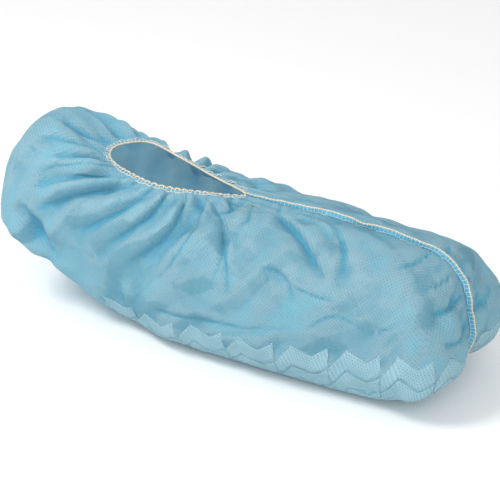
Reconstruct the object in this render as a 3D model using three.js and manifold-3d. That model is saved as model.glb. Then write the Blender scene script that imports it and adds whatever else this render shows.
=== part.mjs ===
// Disposable shoe cover of blue nonwoven cloth, standing on its sole.
// One hollow pouch with a gathered foot opening, an upright overlocked seam from the opening over the toe,
// the threads that bind both edges, and a thin grip layer with a sawtooth edge under the sole.
// Millimetres. +X runs to the toe, +Y to the wearer's left, +Z up, and z = 0 is the floor under the sole.
import * as THREE from 'three';
import { mergeVertices } from 'three/addons/utils/BufferGeometryUtils.js';
import Module from 'manifold-3d';

const wasm = await Module();
wasm.setup();

// Driving dimensions
const coverLength = 340; // heel back to toe front, before the seam holds the toe back
const coverWidth = 120; // widest, across the ball of the foot
const coverHeight = 124; // crown of the heel above the floor
const wall = 1.2; // cloth
const openingLength = 102; // along the foot
const openingWidth = 46; // across the foot
const openingFront = 169; // from the heel back to the pointed front end of the opening
const rimBelowCrown = { back: 19, front: 26 }; // how far the rim lies under the crown at its two ends
const rimThread = 1.6; // diameter of the bound edge round the opening
const finHeight = 4.5; // seam allowance that stands up along the instep
const finThickness = 1.5; // two layers of cloth held together
const finThread = 1.4; // diameter of the bound edge on the seam
const gripThickness = 0.8; // grip layer under the sole
const finEnd = 14; // height over the floor at which the seam ends at the toe
const gap = 0.3; // between neighbouring pieces
const finGap = 0.4; // between the cloth and the seam allowance
const gripGap = 0.4; // between the cloth and the grip layer

// Rounding of the two ends: how far each rounding reaches in from the end, and the power of its curve
const ends = {
  heelPlan: { reach: 40, power: 3.0 },
  toePlan: { reach: 30, power: 1.9 },
  heelTop: { reach: 40, power: 2.2 },
  toeTop: { reach: 30, power: 1.6 },
  heelUnder: { reach: 125, power: 1.55 },
  toeUnder: { reach: 72, power: 2.0 },
};
const heelTipHeight = 72; // height of the point where the heel's rounding closes
const toeTipHeight = 45; // the same at the toe
const roundTop = 2.2; // power of the curve over the upper half of a section
const roundUnder = 3.0; // power of the curve under its lower half, nearly flat on the floor

// The seam holds the toe back between two bulging lobes.
const cleft = { depth: 12, halfWidth: 17, reach: 60, fromHeight: 85, toHeight: 45 };
const toeShort = 4.2; // the lobes end this far short of the full length
// The seam allowance rises from the rim at its first stations, in shares of its height.
const finStart = [0.4, 0.7];
// Elastic pulls the cloth down to the rim over this distance.
const rimPull = 22;
// Folds flatten towards the bound edge over this distance.
const rimHold = 12;
// The two halves of the sole meet on the middle line between these distances from the heel back.
const spine = { from: 75, to: 275 };

// Sections from heel to toe. along: share of length. half: share of half the width.
// top, bottom and waist (where a section is widest): shares of height.
const sections = [
  { along: 0.0, half: 0.97, top: 1.07, bottom: 0.0, waist: 0.4 },
  { along: 0.15, half: 0.92, top: 0.975, bottom: -0.024, waist: 0.39 },
  { along: 0.25, half: 0.92, top: 0.91, bottom: -0.03, waist: 0.36 },
  { along: 0.35, half: 0.97, top: 0.83, bottom: -0.03, waist: 0.34 },
  { along: 0.5, half: 1.0, top: 0.79, bottom: -0.03, waist: 0.34 },
  { along: 0.65, half: 0.97, top: 0.79, bottom: -0.03, waist: 0.34 },
  { along: 0.8, half: 0.92, top: 0.775, bottom: -0.03, waist: 0.32 },
  { along: 0.9, half: 0.95, top: 0.73, bottom: -0.03, waist: 0.31 },
  { along: 1.0, half: 1.0, top: 0.555, bottom: -0.03, waist: 0.31 },
];

// Rim of the opening seen from above, from its pointed front round the near side.
// back: share of openingLength behind the front point. side: share of openingWidth, near side negative.
const rimOutline = [
  { back: 0.0, side: 0.0 },
  { back: 0.24, side: -0.3 },
  { back: 0.5, side: -0.48 },
  { back: 0.75, side: -0.41 },
  { back: 0.92, side: -0.26 },
  { back: 1.0, side: 0.02 },
  { back: 0.97, side: 0.3 },
  { back: 0.85, side: 0.52 },
  { back: 0.6, side: 0.39 },
  { back: 0.31, side: 0.2 },
];
// Where the lines over the cloth fan out from: share of openingLength behind the front point
const fanCentre = 0.58;

// Folds. Each runs from (round, down) over the middle to the end.
// round: share of the widest outline, from the toe seam by way of the near side.
// down: share of the way from the rim over the side to the middle of the sole.
// wide: share of width. deep: share of width, into the cover, or out of it when negative.
const folds = [
  { from: [0.515, 0.02], over: [0.495, 0.08], to: [0.478, 0.18], wide: 0.062, deep: 0.035 },
  { from: [0.475, 0.02], over: [0.46, 0.12], to: [0.452, 0.24], wide: 0.062, deep: 0.025 },
  { from: [0.44, 0.01], over: [0.436, 0.1], to: [0.43, 0.2], wide: 0.062, deep: 0.035 },
  { from: [0.38, 0.03], over: [0.398, 0.16], to: [0.415, 0.3], wide: 0.069, deep: 0.055 },
  { from: [0.34, 0.05], over: [0.385, 0.3], to: [0.408, 0.56], wide: 0.088, deep: 0.045 },
  { from: [0.415, 0.44], over: [0.4, 0.5], to: [0.385, 0.6], wide: 0.1, deep: 0.055 },
  { from: [0.3, 0.03], over: [0.335, 0.22], to: [0.365, 0.42], wide: 0.075, deep: 0.03 },
  { from: [0.25, 0.03], over: [0.298, 0.16], to: [0.345, 0.42], wide: 0.075, deep: 0.04 },
  { from: [0.195, 0.05], over: [0.272, 0.23], to: [0.315, 0.48], wide: 0.088, deep: 0.045 },
  { from: [0.05, 0.05], over: [0.12, 0.11], to: [0.205, 0.13], wide: 0.075, deep: 0.035 },
  { from: [0.045, 0.16], over: [0.068, 0.27], to: [0.1, 0.43], wide: 0.075, deep: 0.04 },
  { from: [0.036, 0.29], over: [0.058, 0.36], to: [0.08, 0.44], wide: 0.075, deep: 0.02 },
  { from: [0.178, 0.18], over: [0.2, 0.27], to: [0.22, 0.38], wide: 0.112, deep: 0.035 },
  { from: [0.172, 0.38], over: [0.166, 0.44], to: [0.163, 0.5], wide: 0.062, deep: 0.025 },
  { from: [0.285, 0.52], over: [0.215, 0.557], to: [0.17, 0.57], wide: 0.06, deep: 0.022 },
  { from: [0.152, 0.56], over: [0.132, 0.556], to: [0.108, 0.585], wide: 0.06, deep: 0.022 },
  { from: [0.006, 0.53], over: [0.018, 0.52], to: [0.036, 0.5], wide: 0.06, deep: 0.03 },
  { from: [0.006, 0.61], over: [0.02, 0.6], to: [0.042, 0.575], wide: 0.06, deep: 0.04 },
  { from: [0.006, 0.69], over: [0.022, 0.675], to: [0.044, 0.655], wide: 0.06, deep: 0.035 },
  { from: [0.994, 0.57], over: [0.978, 0.56], to: [0.962, 0.54], wide: 0.06, deep: 0.035 },
  { from: [0.994, 0.66], over: [0.978, 0.65], to: [0.96, 0.63], wide: 0.06, deep: 0.035 },
  { from: [0.55, 0.02], over: [0.548, 0.1], to: [0.545, 0.22], wide: 0.062, deep: 0.04 },
  { from: [0.585, 0.02], over: [0.583, 0.14], to: [0.572, 0.28], wide: 0.062, deep: 0.045 },
  { from: [0.62, 0.02], over: [0.612, 0.16], to: [0.6, 0.34], wide: 0.069, deep: 0.04 },
  { from: [0.655, 0.03], over: [0.64, 0.2], to: [0.625, 0.45], wide: 0.075, deep: 0.045 },
  { from: [0.7, 0.03], over: [0.675, 0.22], to: [0.655, 0.48], wide: 0.081, deep: 0.04 },
  { from: [0.75, 0.03], over: [0.71, 0.22], to: [0.69, 0.45], wide: 0.081, deep: 0.045 },
  { from: [0.81, 0.04], over: [0.76, 0.2], to: [0.735, 0.45], wide: 0.088, deep: 0.04 },
  { from: [0.93, 0.05], over: [0.87, 0.14], to: [0.82, 0.3], wide: 0.075, deep: 0.035 },
  { from: [0.955, 0.2], over: [0.93, 0.32], to: [0.9, 0.46], wide: 0.075, deep: 0.035 },
  { from: [0.83, 0.35], over: [0.82, 0.45], to: [0.8, 0.55], wide: 0.075, deep: 0.03 },
  { from: [0.568, 0.03], over: [0.566, 0.07], to: [0.562, 0.13], wide: 0.06, deep: -0.045 },
  { from: [0.603, 0.03], over: [0.6, 0.07], to: [0.592, 0.13], wide: 0.06, deep: -0.055 },
  { from: [0.64, 0.03], over: [0.634, 0.07], to: [0.624, 0.13], wide: 0.06, deep: -0.05 },
  { from: [0.68, 0.03], over: [0.67, 0.07], to: [0.66, 0.13], wide: 0.06, deep: -0.045 },
  { from: [0.725, 0.03], over: [0.715, 0.07], to: [0.7, 0.13], wide: 0.062, deep: -0.04 },
  { from: [0.775, 0.03], over: [0.76, 0.07], to: [0.745, 0.12], wide: 0.06, deep: -0.04 },
  { from: [0.835, 0.03], over: [0.815, 0.07], to: [0.795, 0.12], wide: 0.062, deep: -0.045 },
];
const foldSteps = 8; // places along a fold at which its distance is measured
const foldShoulder = 1.2; // how much cloth a fold raises beside its valley
const foldReach = 3; // widths beyond which a fold moves nothing
const foldStartWidth = 0.8; // share of its width at the start of a fold
const foldEndWidth = 1.5; // and at its end
const foldStartDepth = 0.12; // where on a half wave its depth starts, which falls to nothing at its end

// Upper edge of the grip layer. round: as above. high: height of its teeth's points, as a share of height.
const gripEdge = [
  { round: 0.0, high: 0.08 },
  { round: 0.015, high: 0.3 },
  { round: 0.03, high: 0.36 },
  { round: 0.08, high: 0.4 },
  { round: 0.13, high: 0.34 },
  { round: 0.18, high: 0.29 },
  { round: 0.25, high: 0.25 },
  { round: 0.31, high: 0.21 },
  { round: 0.36, high: 0.2 },
];
const toothDepth = 0.11; // depth of a tooth, as a share of height
const pairShare = 0.0428; // share of the widest outline that one pair of teeth takes
// Depths in one pair of teeth, as shares of toothDepth: a deep cut with one steep side, then a shallow dip.
const toothPair = [0.0, 0.5, 1.0, 0.0, 0.25, 0.5, 0.33, 0.17];

// Fineness of the mesh
const columns = 88; // lines from the rim to the sole
// Places along each line, as shares of the way down: close at the rim, wide under the sole
const ringShares = [
  0, 0.025, 0.05, 0.08, 0.115, 0.155, 0.2, 0.25, 0.3, 0.35,
  0.4, 0.45, 0.5, 0.55, 0.6, 0.65, 0.7, 0.76, 0.84, 1,
];
const gripFirstRing = 11; // ring above the highest tooth
const gripRise = 4; // the surface that cuts the teeth starts this far over the sole
const gripOverhang = 1.25; // and ends beyond the widest outline, as a share of the way out
const threadSides = 6;
const rimSlantSample = 4; // sample of a line that shows how steeply it leaves the rim
const rimSlantLeast = 0.3; // sine of the flattest angle between a line and the rim
const same = 1e-3; // points closer than this are one
const tiny = 1e-6; // keeps a division whole
const overSamples = 60; // samples of one line over the top and down the side
const underSamples = 36; // samples of one line under the sole
const outlineSamples = 720;
const rimSamples = 400;

// What follows from them
const rings = ringShares.length - 1;
const soleLevel = gripThickness + gripGap; // cloth above the floor
const clearOfRim = rimThread / 2 + 2 * gap; // cloth from the middle of the rim thread
const heelX = -(coverLength - toeShort) / 2; // the origin is midway between the heel and the toe's lobes
const toeX = heelX + coverLength;
const openingX = heelX + openingFront;
const fanX = openingX - fanCentre * openingLength;
const rimHeightBack = coverHeight - rimBelowCrown.back;
const rimHeightFront = coverHeight - rimBelowCrown.front;

const clamp = THREE.MathUtils.clamp;
const smooth = (t) => t * t * (3 - 2 * t);

// Smooth curve through one column of a table whose rows are placed by another column.
function along(rows, place, value, t) {
  const last = rows.length - 1;
  const slope = (k) => {
    const a = rows[Math.max(k - 1, 0)];
    const b = rows[Math.min(k + 1, last)];
    return (b[value] - a[value]) / (b[place] - a[place]);
  };
  let k = 0;
  while (k < last - 1 && t > rows[k + 1][place]) k += 1;
  const step = rows[k + 1][place] - rows[k][place];
  const q = clamp((t - rows[k][place]) / step, 0, 1);
  const start = (rows[k][value] * (1 + 2 * q) + slope(k) * step * q) * (1 - q) ** 2;
  const end = (rows[k + 1][value] * (3 - 2 * q) + slope(k + 1) * step * (q - 1)) * q ** 2;
  return start + end;
}

// Rounding of an end: 0 at the end itself, 1 from its reach inwards.
function rounding(distance, end) {
  const out = clamp(1 - distance / end.reach, 0, 1);
  return Math.max(1 - out ** end.power, 0) ** (1 / end.power);
}

// Half width, top, bottom and waist of the section at x.
function sectionAt(x) {
  const fromHeel = clamp(x - heelX, 0, coverLength);
  const fromToe = coverLength - fromHeel;
  const t = fromHeel / coverLength;
  const tip = t < 0.5 ? heelTipHeight : toeTipHeight;
  const plan = rounding(fromHeel, ends.heelPlan) * rounding(fromToe, ends.toePlan);
  const over = rounding(fromHeel, ends.heelTop) * rounding(fromToe, ends.toeTop);
  const under = rounding(fromHeel, ends.heelUnder) * rounding(fromToe, ends.toeUnder);
  const nearTip = Math.max(1 - fromHeel / ends.heelUnder.reach, 1 - fromToe / ends.toeTop.reach, 0) ** 2;
  const top = tip + (along(sections, 'along', 'top', t) * coverHeight - tip) * over;
  const bottom = tip + (along(sections, 'along', 'bottom', t) * coverHeight - tip) * under;
  const waist = along(sections, 'along', 'waist', t) * coverHeight * (1 - nearTip) + tip * nearTip;
  return {
    half: (along(sections, 'along', 'half', t) * coverWidth * plan) / 2,
    top,
    bottom,
    waist: clamp(waist, bottom, top),
  };
}

// Height of the plain form over or under a place in plan.
function heightAt(x, y, under) {
  const s = sectionAt(x);
  const out = clamp(Math.abs(y) / Math.max(s.half, tiny), 0, 1);
  const power = under ? roundUnder : roundTop;
  const share = (1 - out ** power) ** (1 / power);
  if (under) return Math.max(s.waist - (s.waist - s.bottom) * share, soleLevel);
  return s.waist + (s.top - s.waist) * share;
}

// Lengths along a list of points, from 0 at its start.
function lengths(points) {
  const sums = [0];
  for (let k = 1; k < points.length; k += 1) sums.push(sums[k - 1] + points[k].distanceTo(points[k - 1]));
  return sums;
}

// The place on a list of points at a share of its length.
function atShare(points, sums, share) {
  const wanted = clamp(share, 0, 1) * sums[sums.length - 1];
  let low = 0;
  let high = sums.length - 1;
  while (high - low > 1) {
    const middle = (low + high) >> 1;
    if (sums[middle] <= wanted) low = middle;
    else high = middle;
  }
  const part = (wanted - sums[low]) / Math.max(sums[high] - sums[low], tiny);
  return points[low].clone().lerp(points[high], part);
}

// Widest outline from above, from the toe by the near side to the heel and back by the far side.
function planOutline() {
  const points = [];
  for (let k = 0; k <= outlineSamples; k += 1) {
    const angle = (2 * Math.PI * k) / outlineSamples;
    const x = heelX + (coverLength * (1 + Math.cos(angle))) / 2;
    const atTip = k === 0 || k === outlineSamples || 2 * k === outlineSamples;
    const half = atTip ? 0 : sectionAt(x).half;
    points.push(new THREE.Vector3(x, angle < Math.PI ? -half : half, 0));
  }
  return points;
}
const outline = planOutline();
const outlineLengths = lengths(outline);

// Rim of the opening as distances from the fan's centre, by angle from the front round the near side.
function rimByAngle() {
  const corners = rimOutline.map(
    (row) => new THREE.Vector3(openingX - row.back * openingLength, row.side * openingWidth, 0),
  );
  const curve = new THREE.CatmullRomCurve3(corners, true, 'catmullrom', 0.5);
  const table = [];
  for (let k = 0; k < rimSamples; k += 1) {
    const p = curve.getPoint(k / rimSamples);
    const angle = (Math.atan2(-p.y, p.x - fanX) + 2 * Math.PI) % (2 * Math.PI);
    table.push({ angle, distance: Math.hypot(p.x - fanX, p.y) });
  }
  table.sort((a, b) => a.angle - b.angle);
  const first = table[0];
  const last = table[table.length - 1];
  table.unshift({ angle: last.angle - 2 * Math.PI, distance: last.distance });
  table.push({ angle: first.angle + 2 * Math.PI, distance: first.distance });
  return table;
}
const rimTable = rimByAngle();

// Rim point of the line that runs out to a place on the widest outline.
function rimToward(place) {
  const angle = (Math.atan2(-place.y, place.x - fanX) + 2 * Math.PI) % (2 * Math.PI);
  let k = 0;
  while (k < rimTable.length - 2 && rimTable[k + 1].angle < angle) k += 1;
  const a = rimTable[k];
  const b = rimTable[k + 1];
  const distance = a.distance + ((b.distance - a.distance) * (angle - a.angle)) / (b.angle - a.angle);
  return new THREE.Vector3(fanX + distance * Math.cos(angle), -distance * Math.sin(angle), 0);
}

function rimHeight(x) {
  return THREE.MathUtils.lerp(rimHeightFront, rimHeightBack, clamp((openingX - x) / openingLength, 0, 1));
}

// The seam holds a place near the toe back between the lobes.
function holdBack(p) {
  const forward = smooth(clamp(1 - (toeX - p.x) / cleft.reach, 0, 1));
  const low = smooth(clamp((cleft.fromHeight - p.z) / (cleft.fromHeight - cleft.toHeight), 0, 1));
  p.x -= cleft.depth * forward * low * Math.exp(-((p.y / cleft.halfWidth) ** 2));
  return p;
}

// One line over the plain form, from the rim to the middle of the sole.
function lineAt(round) {
  const edge = atShare(outline, outlineLengths, ((round % 1) + 1) % 1);
  const rim = rimToward(edge);
  const foot = new THREE.Vector3(clamp(edge.x, heelX + spine.from, heelX + spine.to), 0, 0);
  const lift = rimHeight(rim.x) - heightAt(rim.x, rim.y, false);
  const points = [];
  for (let k = 0; k < overSamples; k += 1) {
    const p = rim.clone().lerp(edge, Math.sin((Math.PI / 2) * (k / (overSamples - 1))));
    const pulled = lift * Math.exp(-((p.distanceTo(rim) / rimPull) ** 2));
    p.z = heightAt(p.x, p.y, false) + pulled;
    points.push(p);
  }
  for (let k = 1; k < underSamples; k += 1) {
    const p = edge.clone().lerp(foot, 1 - Math.cos((Math.PI / 2) * (k / (underSamples - 1))));
    p.z = heightAt(p.x, p.y, true);
    points.push(p);
  }
  points.forEach(holdBack);
  return { points, sums: lengths(points) };
}

function plainPoint(round, down) {
  const line = lineAt(round);
  return atShare(line.points, line.sums, down);
}

// Each fold as places on the plain form.
const foldLines = folds.map((fold) => {
  const places = [];
  for (let k = 0; k <= foldSteps; k += 1) {
    const t = k / foldSteps;
    const [early, middle, late] = [(1 - t) * (1 - 2 * t), 4 * t * (1 - t), t * (2 * t - 1)];
    const mix = (n) => fold.from[n] * early + fold.over[n] * middle + fold.to[n] * late;
    places.push(plainPoint(mix(0), mix(1)));
  }
  return { places, wide: fold.wide * coverWidth, deep: fold.deep * coverWidth };
});

// How far the folds move a place of the plain form, outward positive.
function foldMove(p) {
  let move = 0;
  for (const fold of foldLines) {
    let nearest = Infinity;
    let t = 0;
    for (let k = 0; k < foldSteps; k += 1) {
      const a = fold.places[k];
      const b = fold.places[k + 1];
      const run = b.clone().sub(a);
      const q = clamp(p.clone().sub(a).dot(run) / Math.max(run.lengthSq(), tiny), 0, 1);
      const distance = p.distanceTo(a.clone().addScaledVector(run, q));
      if (distance < nearest) {
        nearest = distance;
        t = (k + q) / foldSteps;
      }
    }
    const out = nearest / (fold.wide * THREE.MathUtils.lerp(foldStartWidth, foldEndWidth, t));
    if (out < foldReach) {
      const phase = THREE.MathUtils.lerp(foldStartDepth, 1, t);
      const strength = Math.sqrt(Math.max(Math.sin(Math.PI * phase), 0));
      move -= fold.deep * strength * (1 - foldShoulder * out * out) * Math.exp(-out * out);
    }
  }
  return move;
}

// An open sheet: its points, its triangles and the normals of its points, with equal points joined.
function weldedSheet(grid, closedRound) {
  const positions = [];
  const index = [];
  const across = grid.length;
  const down = grid[0].length;
  grid.forEach((line) => line.forEach((p) => positions.push(p.x, p.y, p.z)));
  const lines = closedRound ? across : across - 1;
  for (let i = 0; i < lines; i += 1) {
    const next = (i + 1) % across;
    for (let j = 0; j < down - 1; j += 1) {
      const a = i * down + j;
      const b = next * down + j;
      index.push(a, b, b + 1, a, b + 1, a + 1);
    }
  }
  let sheet = new THREE.BufferGeometry();
  sheet.setAttribute('position', new THREE.Float32BufferAttribute(positions, 3));
  sheet.setIndex(index);
  sheet = mergeVertices(sheet, same);
  const merged = sheet.index.array;
  const kept = [];
  for (let k = 0; k < merged.length; k += 3) {
    const [a, b, c] = [merged[k], merged[k + 1], merged[k + 2]];
    if (a !== b && b !== c && c !== a) kept.push(a, b, c);
  }
  sheet.setIndex(kept);
  sheet.computeVertexNormals();
  return sheet;
}

// A closed solid between two offsets from an open sheet, along the normals of its points.
function thicken(sheet, outer, inner, lowest) {
  const place = sheet.attributes.position;
  const normal = sheet.attributes.normal;
  const count = place.count;
  const positions = [];
  for (const offset of [outer, inner]) {
    for (let k = 0; k < count; k += 1) {
      const z = place.getZ(k) + offset * normal.getZ(k);
      const x = place.getX(k) + offset * normal.getX(k);
      const y = place.getY(k) + offset * normal.getY(k);
      positions.push(x, y, Math.max(z, lowest));
    }
  }
  const faces = sheet.index.array;
  const index = [];
  const open = new Map();
  for (let k = 0; k < faces.length; k += 3) {
    const corner = [faces[k], faces[k + 1], faces[k + 2]];
    index.push(...corner, corner[0] + count, corner[2] + count, corner[1] + count);
    for (let n = 0; n < 3; n += 1) {
      const [a, b] = [corner[n], corner[(n + 1) % 3]];
      if (open.has(`${b},${a}`)) open.delete(`${b},${a}`);
      else open.set(`${a},${b}`, [a, b]);
    }
  }
  for (const [a, b] of open.values()) index.push(a, a + count, b + count, a, b + count, b);
  const solid = new THREE.BufferGeometry();
  solid.setAttribute('position', new THREE.Float32BufferAttribute(positions, 3));
  solid.setIndex(index);
  return solid;
}

// A profile carried along stations, each with a centre and two directions.
function sweep(stations, profile, closed) {
  const positions = [];
  const index = [];
  const sides = profile.length;
  for (const s of stations) {
    for (const [a, b] of profile) {
      const p = s.centre.clone().addScaledVector(s.first, a).addScaledVector(s.second, b);
      positions.push(p.x, p.y, p.z);
    }
  }
  const steps = closed ? stations.length : stations.length - 1;
  for (let i = 0; i < steps; i += 1) {
    const next = (i + 1) % stations.length;
    for (let j = 0; j < sides; j += 1) {
      const k = (j + 1) % sides;
      const [a, b, c, d] = [i * sides + j, i * sides + k, next * sides + k, next * sides + j];
      index.push(a, b, c, a, c, d);
    }
  }
  if (!closed) {
    const last = (stations.length - 1) * sides;
    for (let j = 1; j < sides - 1; j += 1) {
      index.push(0, j + 1, j, last, last + j, last + j + 1);
    }
  }
  const solid = new THREE.BufferGeometry();
  solid.setAttribute('position', new THREE.Float32BufferAttribute(positions, 3));
  solid.setIndex(index);
  return solid;
}

const circle = (radius) =>
  Array.from({ length: threadSides }, (_, k) => {
    const angle = (2 * Math.PI * k) / threadSides;
    return [radius * Math.cos(angle), radius * Math.sin(angle)];
  });

// The cloth's outer face as lines of points, folds included.
function clothGrid() {
  const plain = [];
  for (let i = 0; i < columns; i += 1) {
    const line = lineAt(i / columns);
    const total = line.sums[line.sums.length - 1];
    const side = rimToward(atShare(outline, outlineLengths, (i + 0.5) / columns));
    const other = rimToward(atShare(outline, outlineLengths, ((i - 0.5 + columns) / columns) % 1));
    const rimRun = side.sub(other).normalize();
    const out = line.points[rimSlantSample].clone().sub(line.points[0]).setZ(0).normalize();
    const slant = Math.max(Math.abs(rimRun.x * out.y - rimRun.y * out.x), rimSlantLeast);
    const start = clearOfRim / slant / total;
    const row = [];
    for (let j = 0; j <= rings; j += 1) {
      row.push(atShare(line.points, line.sums, start + (1 - start) * ringShares[j]));
    }
    plain.push(row);
  }
  const sheet = plain.map((row, i) =>
    row.map((p, j) => {
      const beside = plain[(i + 1) % columns][j].clone().sub(plain[(i + columns - 1) % columns][j]);
      const ahead = row[Math.min(j + 1, rings)].clone().sub(row[Math.max(j - 1, 0)]);
      const normal = beside.cross(ahead).normalize();
      const moved = p.clone();
      const held = smooth(clamp(p.distanceTo(row[0]) / rimHold, 0, 1));
      if (j < rings && p.z > soleLevel) moved.addScaledVector(normal, held * foldMove(p));
      moved.z = Math.max(moved.z, soleLevel);
      return moved;
    }),
  );
  return sheet;
}

const cloth = clothGrid();

function coverShell() {
  return thicken(weldedSheet(cloth, true), 0, -wall, soleLevel);
}

// Stations on the cloth along the seam, in the middle plane, with the height that the fin has there.
// The last one is where the cloth comes down to the height at which the seam ends.
function seamStations() {
  const line = cloth[0];
  const stations = [];
  for (let j = 0; j < rings; j += 1) {
    const run = line[j + 1].clone().sub(line[Math.max(j - 1, 0)]).setY(0).normalize();
    const up = new THREE.Vector3(-run.z, 0, run.x);
    const place = line[j].clone().setY(0);
    const tall = finHeight * (finStart[j] ?? 1);
    stations.push({ place, up, tall });
    if (place.z <= finEnd) {
      const before = stations[j - 1];
      const part = (finEnd - place.z) / (before.place.z - place.z);
      place.lerp(before.place, part);
      up.lerp(before.up, part).normalize();
      break;
    }
  }
  return stations;
}

const acrossSeam = new THREE.Vector3(0, 1, 0);

function seamFin() {
  const t = finThickness / 2;
  const stations = seamStations().map(({ place, up, tall }) => ({
    centre: place.addScaledVector(up, finGap),
    first: acrossSeam,
    second: up.clone().multiplyScalar(tall),
  }));
  const section = [[-t, 0], [t, 0], [t, 1], [-t, 1]];
  return sweep(stations, section, false);
}

function seamThread() {
  const stations = seamStations().map(({ place, up, tall }) => ({
    centre: place.addScaledVector(up, finGap + tall + gap + finThread / 2),
    first: acrossSeam,
    second: up,
  }));
  return sweep(stations, circle(finThread / 2), false);
}

function openingElastic() {
  const stations = [];
  for (let i = 0; i < columns; i += 1) {
    const centre = plainPoint(i / columns, 0);
    const ahead = plainPoint((i + 0.5) / columns, 0);
    const behind = plainPoint((i - 0.5) / columns, 0);
    const run = ahead.sub(behind).normalize();
    const up = new THREE.Vector3(0, 0, 1);
    const out = run.clone().cross(up).normalize();
    centre.z -= wall / 2;
    stations.push({ centre, first: up, second: out });
  }
  return sweep(stations, circle(rimThread / 2), true);
}

// Everything under a sawtooth edge that follows the sides of the cover, as a solid.
function underTeeth() {
  const pairs = Math.round(gripEdge[gripEdge.length - 1].round / pairShare);
  const last = pairs * toothPair.length;
  const grid = [];
  for (let i = -last; i <= last; i += 1) {
    const round = (Math.abs(i) / toothPair.length) * pairShare;
    const edge = atShare(outline, outlineLengths, round);
    const footX = clamp(edge.x, heelX + spine.from, heelX + spine.to);
    const foot = new THREE.Vector3(footX, 0, soleLevel + gripRise);
    const outer = foot.clone().lerp(edge, gripOverhang);
    outer.y *= i < 0 ? -1 : 1;
    const depth = toothDepth * toothPair[Math.abs(i) % toothPair.length];
    const high = along(gripEdge, 'round', 'high', round) - depth;
    outer.z = high * coverHeight;
    grid.push([foot, outer]);
  }
  const sheet = weldedSheet(grid, false);
  const normal = sheet.attributes.normal;
  for (let k = 0; k < normal.count; k += 1) normal.setXYZ(k, 0, 0, 1);
  return thicken(sheet, 0, -coverHeight, -coverHeight);
}

function toSolid(geometry) {
  geometry.deleteAttribute('normal');
  const welded = mergeVertices(geometry, same / 10);
  const mesh = new wasm.Mesh({
    numProp: 3,
    vertProperties: new Float32Array(welded.attributes.position.array),
    triVerts: new Uint32Array(welded.index.array),
  });
  return new wasm.Manifold(mesh);
}

function toGeometry(solid) {
  const mesh = solid.getMesh();
  const geometry = new THREE.BufferGeometry();
  geometry.setAttribute('position', new THREE.Float32BufferAttribute(mesh.vertProperties, 3));
  geometry.setIndex([...mesh.triVerts]);
  return geometry;
}

// The grip layer runs parallel to the cloth and is cut along its teeth.
function gripLayer() {
  const lower = cloth.map((line) => line.slice(gripFirstRing));
  const layer = thicken(weldedSheet(lower, true), gripGap + gripThickness, gripGap, 0);
  return toGeometry(toSolid(layer).intersect(toSolid(underTeeth())));
}

const clothBlue = new THREE.MeshStandardMaterial({ color: 0x86b7c8, roughness: 0.8, metalness: 0 });
const threadCream = new THREE.MeshStandardMaterial({ color: 0xe1cdb9, roughness: 0.85, metalness: 0 });
const gripWhite = new THREE.MeshStandardMaterial({ color: 0xa4c4ce, roughness: 0.6, metalness: 0 });

function piece(name, geometry, material) {
  const mesh = new THREE.Mesh(geometry, material);
  mesh.name = name;
  return mesh;
}

const shoeCover = new THREE.Group();
shoeCover.add(
  piece('cover_shell', coverShell(), clothBlue),
  piece('seam_fin', seamFin(), clothBlue),
  piece('seam_edge_thread', seamThread(), threadCream),
  piece('opening_elastic', openingElastic(), threadCream),
  piece('sole_grip', gripLayer(), gripWhite),
);

export default shoeCover;
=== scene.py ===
# %% [markdown]
# A disposable shoe cover, dressed for its portrait.
#
# The real thing is one blank of thin blue nonwoven cloth, folded in half along the sole. Elastic
# thread gathers it round the foot opening, and an overlocked seam closes it from the opening over
# the toe. A rubbery print with a sawtooth edge under the sole keeps it from sliding. It weighs a
# few grams and holds no shape of its own, so nearly everything the eye sees is cloth: gathers,
# puckers and crumples.
#
# The CAD model gives the frame: the sizes, the rim, the seam line and the main folds. This script
# rebuilds the same surface much finer, lets it buckle as cloth does, and adds thread, print and
# finish.

# %% Load the frame
import math

import bpy
import numpy as np
from mathutils import Matrix, Vector


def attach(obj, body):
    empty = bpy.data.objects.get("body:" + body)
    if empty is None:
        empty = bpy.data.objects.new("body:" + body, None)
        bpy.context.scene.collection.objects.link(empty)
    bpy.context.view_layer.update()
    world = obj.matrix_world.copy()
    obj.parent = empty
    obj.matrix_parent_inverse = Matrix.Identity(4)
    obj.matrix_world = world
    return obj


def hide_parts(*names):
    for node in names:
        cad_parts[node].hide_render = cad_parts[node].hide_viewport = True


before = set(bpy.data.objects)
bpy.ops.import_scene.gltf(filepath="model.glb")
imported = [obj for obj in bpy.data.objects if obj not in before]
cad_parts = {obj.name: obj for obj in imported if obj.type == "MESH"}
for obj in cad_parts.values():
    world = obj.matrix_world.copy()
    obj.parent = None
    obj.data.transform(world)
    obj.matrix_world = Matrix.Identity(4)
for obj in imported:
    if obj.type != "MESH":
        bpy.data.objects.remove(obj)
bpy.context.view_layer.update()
scene = bpy.context.scene
MM = 0.001
print("frame nodes:", sorted(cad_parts))

# %% [markdown]
# The camera comes first, so that every later choice can be judged from where the picture was taken:
# about 31 degrees round from the side, looking down by 29 degrees, from a good arm's length with a
# longish lens. The small shift keeps the cover where it lies in the picture.

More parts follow.
